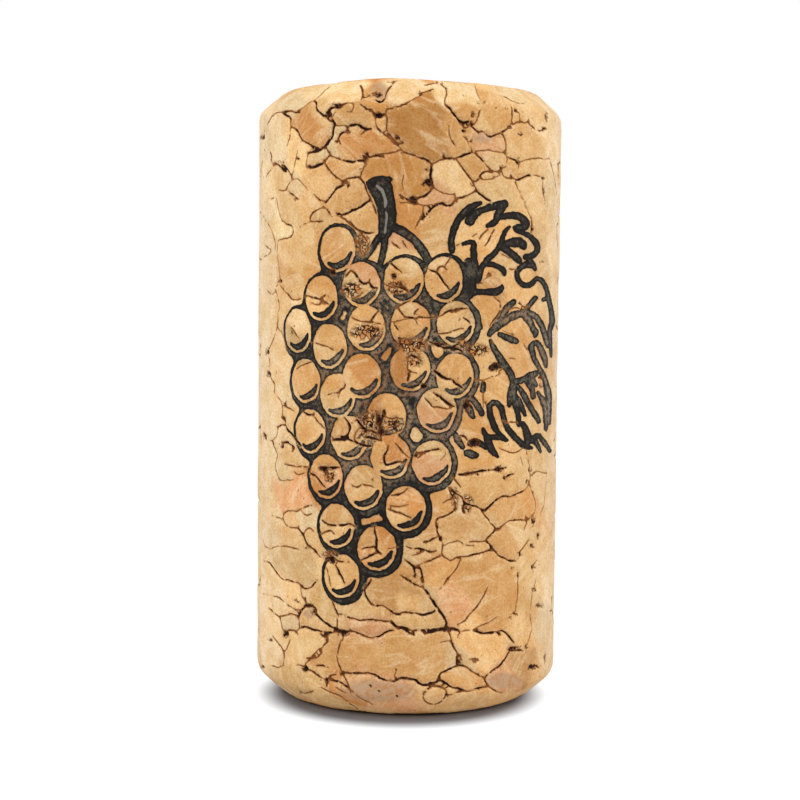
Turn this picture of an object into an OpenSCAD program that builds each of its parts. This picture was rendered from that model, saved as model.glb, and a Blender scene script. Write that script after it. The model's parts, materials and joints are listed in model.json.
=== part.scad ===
// A straight cork stopper of pressed and glued cork granules, with a bevel at both ends
// and a printed bunch of grapes on one side. The origin is the middle of its foot, +Z runs
// along the cork, and the print looks along -Y.

/* [Cork] */
// Diameter of the cork
cork_d = 22.5; // [20:0.5:36]
// Length of the cork
cork_l = 44.5; // [38:0.5:60]
// How far each bevel comes in from the side
bevel_in = 1.9; // [1:0.1:3]
// How far each bevel runs along the side
bevel_up = 1.8; // [1:0.1:3]
// Radius that softens the edges of the bevels
edge_r = 0.6; // [0.2:0.1:1]

/* [Granules] */
// Usual width of a cork granule
granule_w = 6; // [5:0.5:8]
// How far granules sit off an even pattern, as a share of their width
scatter = 0.34; // [0:0.02:0.36]
// Usual width of the seam between two granules
seam_w = 0.22; // [0.12:0.02:0.4]
// Depth of the seams
seam_depth = 0.18; // [0.1:0.02:0.3]
// Number that picks one scatter of the granules
scatter_seed = 8; // [1:1:99]

/* [Pits] */
// Share of the granules that have a torn pit at one corner
pit_share = 0.14; // [0:0.02:0.4]
// Usual width of a pit
pit_w = 1; // [0.6:0.1:1.6]
// Depth of the pits
pit_depth = 0.4; // [0.35:0.05:0.8]

/* [Print] */
// Height of the printed bunch of grapes, from its tip to the top of its stalk
print_h = 29.4; // [20:0.2:30]
// Height of the bunch's tip above the foot of the cork
print_foot = 8.3; // [4:0.1:12]
// Width of a grape inside its ring, on a print 29.4 high
grape_w = 2.7; // [2.2:0.1:3]
// Height of a grape inside its ring, on a print 29.4 high
grape_h = 3.05; // [2.4:0.05:3.3]
// Thickness of a grape's ring, on a print 29.4 high
ring_w = 0.38; // [0.2:0.02:0.6]
// Thickness of the shade in a grape, on a print 29.4 high
shade_w = 0.42; // [0.2:0.02:0.6]
// How far the ink soaks into the cork
ink_depth = 0.1; // [0.05:0.01:0.15]
// How far the ink runs past its drawn edges
ink_spread = 0.03; // [0.01:0.01:0.1]

/* [Hidden] */

cork_r = cork_d / 2;
// Room by which a cutting shape passes the surface it cuts
over = 1;
// Points of a cell nearer than this to each other become one
least_edge = 0.12;
// Room between the ink and the seams, and the least width of a patch of ink
ink_clear = 0.1;
ink_least = 0.12;
// Angles at which the shade in a grape starts and ends, and how far out it lies
shade_start = -118;
shade_end = -10;
shade_out = 0.44;

// --- outline of the cork -------------------------------------------------------------

// A convex corner at p, softened by radius r, between sides that face angles a and b
function corner(p, a, b, r) =
    let (
        sum = [cos(a) + cos(b), sin(a) + sin(b)],
        centre = p - r * sum / (1 + cos(b - a))
    )
    [for (i = [0:3]) let (t = a + (b - a) * i / 3) centre + r * [cos(t), sin(t)]];

// Half outline of the cork, set in by a depth, with its bevel edges softened by radius r
function outline(depth, r) =
    let (
        facing = -atan2(bevel_in, bevel_up),
        foot = [cork_r - bevel_in - depth * tan((90 + facing) / 2), depth],
        shoulder = [cork_r - depth, bevel_up + depth * tan(-facing / 2)],
        bevel = r == 0
            ? [foot, shoulder]
            : concat(corner(foot, -90, facing, r), corner(shoulder, facing, 0, r)),
        lower = concat([[0, depth]], bevel),
        last = len(lower) - 1
    )
    concat(lower, [for (i = [0:last]) [lower[last - i].x, cork_l - lower[last - i].y]]);

module blank() rotate_extrude($fn = 96) polygon(outline(0, edge_r));

// --- granules ------------------------------------------------------------------------

columns = round(PI * cork_d / granule_w);
rows = round((cork_l - 2 * bevel_up) / (granule_w * 0.87));
column_pitch = PI * cork_d / columns;
row_pitch = (cork_l - 2 * bevel_up) / rows;
rings = round(cork_r / (granule_w * 0.87));
ring_pitch = cork_r / rings;

// A number from 0 to 1 that belongs to one granule, or to one pair whichever comes first
function chance(id, which = 0) = rands(0, 1, 3, scatter_seed * 7919 + id * 13)[which];
function pair_chance(i, j) = chance(abs(i - j) * 173 + i + j + 5000);
function offset_of(id, which) = (chance(id, which) * 2 - 1) * scatter;

// Seam half width between two granules
function half_seam(i, j) = seam_w * (0.35 + 1.3 * pair_chance(i, j)) / 2;

// Cuts a convex shape back to the side of a line where p * [line.x, line.y] <= line.z
function clipped(shape, line) = [
    for (i = [0:len(shape) - 1])
        let (
            a = shape[i],
            b = shape[(i + 1) % len(shape)],
            past_a = a.x * line.x + a.y * line.y - line.z,
            past_b = b.x * line.x + b.y * line.y - line.z,
            crossing = a + (b - a) * past_a / (past_a - past_b)
        )
        each concat(past_a <= 0 ? [a] : [], past_a * past_b < 0 ? [crossing] : [])
];
function carved(shape, lines, i = 0) =
    i == len(lines) || len(shape) == 0 ? shape : carved(clipped(shape, lines[i]), lines, i + 1);
function without_short_edges(shape) = [
    for (i = [0:len(shape) - 1])
        if (norm(shape[(i + 1) % len(shape)] - shape[i]) > least_edge) shape[i]
];

// The line half way from the origin to a neighbour, less its half seam
function border(to, half) = [to.x / norm(to), to.y / norm(to), norm(to) / 2 - half];

// A granule's cell around its own centre, given [neighbour's place, half seam] pairs
function cell(neighbours) = without_short_edges(carved(
    [for (c = [[-1, -1], [1, -1], [1, 1], [-1, 1]]) c * granule_w * 1.6],
    [for (n = neighbours) border(n[0], n[1])]
));

// Granules of the side: [place round the side from the middle of the print, height]
function side_id(c, r) = r * columns + (c + columns) % columns;
function side_centre(c, r) = [
    (c + (r % 2) / 2 + offset_of(side_id(c, r), 0)) * column_pitch,
    bevel_up + (r + offset_of(side_id(c, r), 1) * (r == 0 || r == rows ? 0.5 : 1)) * row_pitch
];
function side_cell(c, r) = let (here = side_centre(c, r)) cell([
    for (dr = [-2:2], dc = [-3:3])
        if ((dr != 0 || dc != 0) && r + dr >= 0 && r + dr <= rows)
            [side_centre(c + dc, r + dr) - here, half_seam(side_id(c, r), side_id(c + dc, r + dr))]
]);

// Granules of an end: those of the side's last row, and rings of more inside them
function around(r, angle) = [r * sin(angle), -r * cos(angle)];
function rim_centre(c, r) =
    let (p = side_centre(c, r), in = (r == 0 ? p.y - bevel_up : cork_l - bevel_up - p.y))
    around(cork_r - in, p.x / cork_r * 180 / PI);
function in_ring(k) = max(1, round(2 * PI * k * ring_pitch / granule_w));
function end_granules(r) = concat(
    [for (c = [0:columns - 1]) [rim_centre(c, r), side_id(c, r)]],
    [for (k = [0:rings - 1], i = [0:in_ring(k) - 1])
        let (id = 20000 + r * 1000 + k * 100 + i)
        [around((k + offset_of(id, 0)) * ring_pitch, (i + k / 2 + offset_of(id, 1)) * 360 / in_ring(k)), id]]
);
function end_cell(all, i) = cell([
    for (j = [0:len(all) - 1])
        if (j != i && norm(all[j][0] - all[i][0]) < granule_w * 3.2)
            [all[j][0] - all[i][0], half_seam(all[i][1], all[j][1])]
]);

// Puts a flat drawing on the side: x runs round the cork, y up it, and z out of it
module on_side(p)
    rotate([0, 0, p.x / cork_r * 180 / PI])
        translate([0, -cork_r, p.y])
            rotate([90, 0, 0]) children();
function flattened(shape) = [for (p = shape) [cork_r * sin(p.x / cork_r * 180 / PI), p.y]];

// How far under its middle a granule's edge lies on the round side
fall = cork_r * (1 - cos(granule_w * 0.9 / cork_r * 180 / PI));

module side_granules()
    for (r = [0:rows], c = [0:columns - 1])
        on_side(side_centre(c, r))
            translate([0, 0, -fall - seam_depth])
                linear_extrude(fall + seam_depth + over * 2)
                    polygon(flattened(side_cell(c, r)));

module side_seams() difference() {
    translate([0, 0, bevel_up]) difference() {
        cylinder(h = cork_l - 2 * bevel_up, r = cork_r + over, $fn = 96);
        translate([0, 0, -over]) cylinder(h = cork_l + 2 * over, r = cork_r - seam_depth, $fn = 96);
    }
    side_granules();
}

module end_seams(r) {
    all = end_granules(r);
    foot = r == 0 ? -over : cork_l - bevel_up;
    difference() {
        translate([0, 0, foot]) cylinder(h = bevel_up + over, r = cork_r + over, $fn = 96);
        rotate_extrude($fn = 96) polygon(outline(seam_depth, 0));
        for (i = [0:len(all) - 1])
            translate([all[i][0].x, all[i][0].y, foot - over])
                linear_extrude(bevel_up + over * 3) polygon(end_cell(all, i));
    }
}

// A pit is an angular hole where three granules meet
function has_pit(id) = chance(id, 2) < pit_share;
function side_has_pit(c, r) = r > 0 && r < rows && has_pit(side_id(c, r));
function pit_place(c, r) = side_centre(c, r) + side_cell(c, r)[0];
function pit_size(id) = pit_w * (0.6 + 0.8 * chance(id, 0));
module pit(id) rotate([0, 0, 360 * chance(id, 1)])
    translate([0, 0, -pit_depth]) cylinder(h = pit_depth + over, d = pit_size(id), $fn = 7);

module pits() {
    for (r = [0:rows], c = [0:columns - 1])
        if (side_has_pit(c, r)) on_side(pit_place(c, r)) pit(side_id(c, r));
    for (r = [0, rows])
        let (all = end_granules(r))
            for (i = [columns:len(all) - 1])
                if (has_pit(all[i][1]))
                    let (p = all[i][0] + end_cell(all, i)[0])
                        translate([p.x, p.y, r == 0 ? 0 : cork_l])
                            mirror([0, 0, r == 0 ? 1 : 0]) pit(all[i][1]);
}

// --- print: a bunch of grapes on its stalk, with a vine leaf ----------------------------

print_k = print_h / 29.4;
// Middles of the grapes, from the stalk to the tip: [round the side, height over the tip]
GRAPES = [
    [-5.2, 24.5], [-3.4, 22.1], [-0.4, 22.4], [2.4, 22.5],
    [-6.5, 21.1], [-8.7, 18.8], [-5.8, 17.8], [-3.0, 19.1], [0.1, 19.4], [3.3, 19.5],
    [-7.9, 15.3], [-5.1, 14.4], [-3.3, 15.8], [0.1, 16.4], [3.3, 15.9],
    [-7.4, 11.8], [-4.2, 11.5], [-1.5, 13.1], [2.0, 13.5],
    [-6.0, 8.7], [-3.1, 8.1], [-1.2, 10.3], [1.7, 9.9],
    [-5.1, 5.3], [-0.1, 6.7], [-2.1, 3.9], [-4.7, 1.8]
];
// Lines of the stalk, each a row of [round the side, height over the tip, width]
STALK = [
    [[-2.2, 29.4, 1.8], [-1.9, 28.6, 1.3], [-1.6, 27.4, 1.2], [-1.6, 25.6, 1.3]],
    [[-1.7, 26, 0.9], [-2.3, 24.7, 0.6], [-2.9, 23.6, 0.6]],
    [[-1.4, 25.8, 0.8], [-1.7, 24.5, 0.6], [-1.8, 23.4, 0.6]],
    [[-1.4, 26.3, 0.6], [-0.2, 25.7, 0.6], [0.7, 24.9, 0.6], [1.5, 23.9, 0.7]]
];
// Middles of the leaf's lobes
LEAF_MIDDLES = [
    [-2, 27.5], [5, 25], [9, 24], [7, 21], [11, 18], [8, 17], [10, 13], [6, 12], [12.5, 21]
];
// Lines of the leaf's edge, and of its veins
LEAF_EDGE = [
    [[2.9, 24.1, 0.5], [2.8, 25.2, 0.5], [3.2, 26.5, 0.6], [4.2, 27.5, 0.7], [5.1, 28, 0.3]],
    [[4.4, 26.9, 0.3], [5.4, 27.3, 0.5], [6.3, 27.6, 0.6], [7.4, 28.1, 0.4]],
    [[7.3, 28, 0.4], [6.6, 26.9, 0.5], [6, 26.4, 0.5]],
    [[6.6, 26.6, 0.4], [7.6, 27, 0.5], [8.7, 26.9, 0.6], [9.4, 26.2, 0.7], [8.4, 26.1, 0.4]],
    [[8.3, 26.1, 0.4], [9.5, 25.6, 0.5], [10.4, 24.8, 0.5], [9.3, 24.2, 0.4], [10.4, 23.4, 0.5]],
    [[10.4, 23.4, 0.4], [9, 23.4, 0.4], [8.4, 22.8, 0.4], [8.9, 22.2, 0.5], [9.8, 22.4, 0.4],
        [10.7, 22.7, 0.4], [11.5, 22.2, 0.5], [12.5, 21.2, 0.5], [13.2, 19.8, 0.5], [13.5, 17, 0.4]],
    [[10, 17.1, 0.3], [10.3, 18, 0.5], [11.3, 17.3, 0.5], [12.2, 16.2, 0.5], [12.4, 14, 0.6],
        [12.5, 12, 0.5], [13.2, 10.2, 0.2]],
    [[11.5, 10.4, 0.2], [11.2, 11.4, 0.4], [9.8, 11.1, 0.6], [8.6, 11.7, 0.5], [7.4, 12.8, 0.5],
        [6.9, 13.8, 0.5], [6.2, 14.1, 0.5], [5.7, 13.5, 0.5], [6.1, 12.5, 0.5], [7.4, 11.2, 0.2]],
    [[5.4, 12.3, 0.2], [5.6, 11.4, 0.5], [6.1, 10.7, 0.7], [6.8, 10, 0.2]]
];
LEAF_VEINS = [
    [[3.6, 24.2, 0.6], [4.1, 23.1, 0.6], [4.3, 22.1, 0.9], [4, 21.5, 0.6]],
    [[4.5, 22.1, 0.7], [5.2, 23.2, 0.6], [6.4, 24.7, 0.5], [6.8, 25.5, 0.4], [7.4, 26.1, 0.3]],
    [[6.8, 24.6, 0.4], [8, 25.1, 0.6], [8.9, 25.1, 0.3]],
    [[6.6, 24.7, 0.3], [7.9, 24.3, 0.5], [8.4, 23.9, 0.3]],
    [[4.6, 22.5, 0.5], [4.5, 23.7, 0.5], [4.2, 24.6, 0.5], [4.4, 25.2, 0.4]],
    [[5.3, 23.5, 0.4], [6.4, 23.3, 0.5], [7.1, 23, 0.4]],
    [[4.3, 21.8, 0.5], [5.5, 21.7, 0.5], [6.5, 21.6, 0.5], [7, 22, 0.4]],
    [[5.2, 18.2, 0.5], [6.1, 19, 0.5], [7, 19.6, 0.5], [8.3, 20, 0.6], [10, 20.1, 0.7],
        [11.4, 19.3, 0.6], [12.2, 18.1, 0.5], [12.2, 16.4, 0.4]],
    [[6.8, 19.7, 0.4], [8.1, 21, 0.4]],
    [[9.3, 20.2, 0.4], [10.6, 21.4, 0.4]],
    [[6.3, 19, 0.4], [7.6, 18.4, 0.5], [8.2, 18.2, 0.4]],
    [[5.8, 18.6, 0.4], [6.5, 17.4, 0.5], [7.4, 16.7, 0.5], [8.8, 15, 0.6], [9.9, 13.9, 0.5],
        [11.2, 12.3, 0.4]],
    [[8.6, 15.2, 0.3], [10, 15.8, 0.6], [10.8, 15.6, 0.5], [10.3, 14.3, 0.3]],
    [[8.3, 15.6, 0.4], [7.9, 14.7, 0.6], [7.7, 13.7, 0.4]],
    [[8.5, 15, 0.4], [8.3, 13.5, 0.4], [8.8, 12.3, 0.3]],
    [[4.3, 14.2, 0.4], [4.5, 13.1, 0.4]],
    [[4.9, 14, 0.4], [5.4, 13.4, 0.4]]
];

function ellipse(centre, w, h) = [for (t = [0:30:359]) centre + [w / 2 * cos(t), h / 2 * sin(t)]];
// The shade lies along the lower right of a grape, a little inside its ring
function shade_edge(centre, i, steps, in) =
    let (t = shade_start + (shade_end - shade_start) * i / steps)
    centre + [(grape_w * shade_out - in) * cos(t), (grape_h * shade_out - in) * sin(t)];
function shade(centre) = let (steps = 5) concat(
    [for (i = [0:steps]) shade_edge(centre, i, steps, 0)],
    [for (i = [steps:-1:0]) shade_edge(centre, i, steps, shade_w * (0.3 + 0.7 * sin(180 * i / steps)))]
);

// A line of changing width: its points are [x, y, width]
function xy(p) = [p.x, p.y];
function heading(line, i) =
    let (d = xy(line[min(i + 1, len(line) - 1)]) - xy(line[max(i - 1, 0)])) d / norm(d);
function side_of(line, i, way) =
    let (d = heading(line, i)) xy(line[i]) + way * line[i].z / 2 * [-d.y, d.x];
function ribbon(line) = concat(
    [for (i = [0:len(line) - 1]) side_of(line, i, 1)],
    [for (i = [len(line) - 1:-1:0]) side_of(line, i, -1)]
);

// Lays one shape of the print flat where a granule's own middle touches it
function beside(at, p) = (p.x * print_k - at.x) / cork_r * 180 / PI;
function placed(shape, at) = [
    for (p = shape) [cork_r * sin(beside(at, p)), print_foot + p.y * print_k - at.y]
];
function meets(at, p) =
    cos(beside(at, p)) > 0.5 && norm(placed([p], at)[0]) < granule_w * 1.3 + grape_h;
module drawn(shape, at) polygon(placed(shape, at));

function near(at, points) = [for (p = points) if (meets(at, p)) p];

// The rings are thicker at the lower right
module bunch(at) {
    grapes = near(at, GRAPES);
    lean = [ring_w, -ring_w] / 4;
    difference() {
        union() {
            for (g = grapes) drawn(ellipse(g + lean, grape_w + 2 * ring_w, grape_h + 2 * ring_w), at);
            for (line = STALK) if (meets(at, line[1])) drawn(ribbon(line), at);
        }
        for (g = grapes) drawn(ellipse(g, grape_w, grape_h), at);
    }
    for (g = grapes) drawn(shade(g), at);
}
module leaf(at)
    for (line = concat(LEAF_EDGE, LEAF_VEINS))
        if (len(near(at, line)) > 0) drawn(ribbon(line), at);

// The part of one granule that ink may reach: clear of its seams, and of every pit near it
module open_face(c, r, at) difference() {
    offset(delta = -ink_clear) polygon(flattened(side_cell(c, r)));
    for (dr = [-1:1], dc = [-2:2])
        if (side_has_pit(c + dc, r + dr))
            translate(flattened([pit_place(c + dc, r + dr) - at])[0])
                circle(d = pit_size(side_id(c + dc, r + dr)) + 4 * ink_clear, $fn = 12);
}

// All that the ink soaks, from its full depth to some way past the surface. It has no part
// narrower than its least width. Each granule's drawing also has a speck clear of the cork,
// so that it isn't empty where the print misses the granule.
module inked(past) intersection() {
    difference() {
        cylinder(h = cork_l, r = cork_r + past, $fn = 96);
        translate([0, 0, -over]) cylinder(h = cork_l + 2 * over, r = cork_r - ink_depth, $fn = 96);
    }
    for (r = [0:rows], c = [0:columns - 1])
        let (at = side_centre(c, r))
            if (len(near(at, concat(GRAPES, LEAF_MIDDLES))) > 0)
                on_side(at)
                    translate([0, 0, -fall - ink_depth])
                        linear_extrude(fall + ink_depth + over * 2) ink_drawing(c, r, at);
}
module ink_drawing(c, r, at) offset(delta = ink_least / 2) offset(delta = -ink_least / 2) {
    intersection() {
        open_face(c, r, at);
        offset(delta = ink_spread) {
            bunch(at);
            leaf(at);
        }
    }
    translate([cork_r * 2, 0]) square(ink_least * 2);
}

module cork_body() color("burlywood") difference() {
    difference() {
        blank();
        side_seams();
        end_seams(0);
        end_seams(rows);
        pits();
    }
    inked(over / 2);
}

module ink_print() color("darkslategray") inked(0);

cork_body();
ink_print();
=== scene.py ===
"""A straight cork stopper: one body of pressed cork granules, and a printed bunch of grapes."""

import heapq
import json
import math

import bmesh
import bpy
import numpy as np
from bpy.props import FloatProperty, FloatVectorProperty, IntProperty, PointerProperty
from mathutils import Matrix, Vector, noise
from mathutils.bvhtree import BVHTree
from mathutils.kdtree import KDTree

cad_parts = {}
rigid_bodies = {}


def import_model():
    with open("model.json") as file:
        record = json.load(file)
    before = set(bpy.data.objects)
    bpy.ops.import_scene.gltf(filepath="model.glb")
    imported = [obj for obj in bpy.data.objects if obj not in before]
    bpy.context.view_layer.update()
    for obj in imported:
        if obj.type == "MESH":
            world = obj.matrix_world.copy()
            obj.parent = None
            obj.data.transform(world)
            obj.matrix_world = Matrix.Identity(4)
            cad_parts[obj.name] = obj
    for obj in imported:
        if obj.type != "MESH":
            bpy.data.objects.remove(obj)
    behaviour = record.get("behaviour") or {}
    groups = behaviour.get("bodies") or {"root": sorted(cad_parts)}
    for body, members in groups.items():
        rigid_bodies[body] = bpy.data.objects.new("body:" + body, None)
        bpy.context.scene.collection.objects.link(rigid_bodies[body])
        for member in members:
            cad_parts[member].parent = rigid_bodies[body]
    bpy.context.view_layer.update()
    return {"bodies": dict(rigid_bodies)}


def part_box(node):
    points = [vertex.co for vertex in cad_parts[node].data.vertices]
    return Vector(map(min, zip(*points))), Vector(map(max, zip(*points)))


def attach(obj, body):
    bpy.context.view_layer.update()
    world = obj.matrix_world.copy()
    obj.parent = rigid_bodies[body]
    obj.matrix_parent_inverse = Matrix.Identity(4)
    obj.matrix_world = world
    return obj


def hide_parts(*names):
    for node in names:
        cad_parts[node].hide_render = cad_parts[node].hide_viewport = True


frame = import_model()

bl_info = {
    "name": "Cork stopper",
    "version": (1, 0, 0),
    "blender": (4, 5, 0),
    "location": "View3D > Sidebar > Cork",
    "description": "Makes a pressed cork stopper with a printed bunch of grapes",
    "category": "Object",
}

MM = 0.001
CORK_LOW, CORK_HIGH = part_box("cork_body")
CORK_R = (CORK_HIGH.x - CORK_LOW.x) / 2 / MM
CORK_L = (CORK_HIGH.z - CORK_LOW.z) / MM

# The camera: its place in millimetres, its turns in degrees, and its frame
CAMERA_PLACE = (-0.572, -126.46, 30.797)
CAMERA_PITCH = 4.108
CAMERA_ROLL = 0.576
CAMERA_LENS = 75.79
CAMERA_SENSOR = 36
FRAME_SIDE = 800
ZOOM = FRAME_SIDE * CAMERA_LENS / CAMERA_SENSOR
POINTS_PER_MM = 14.6

# --- the front, as the camera sees it ---------------------------------------------------------

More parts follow.
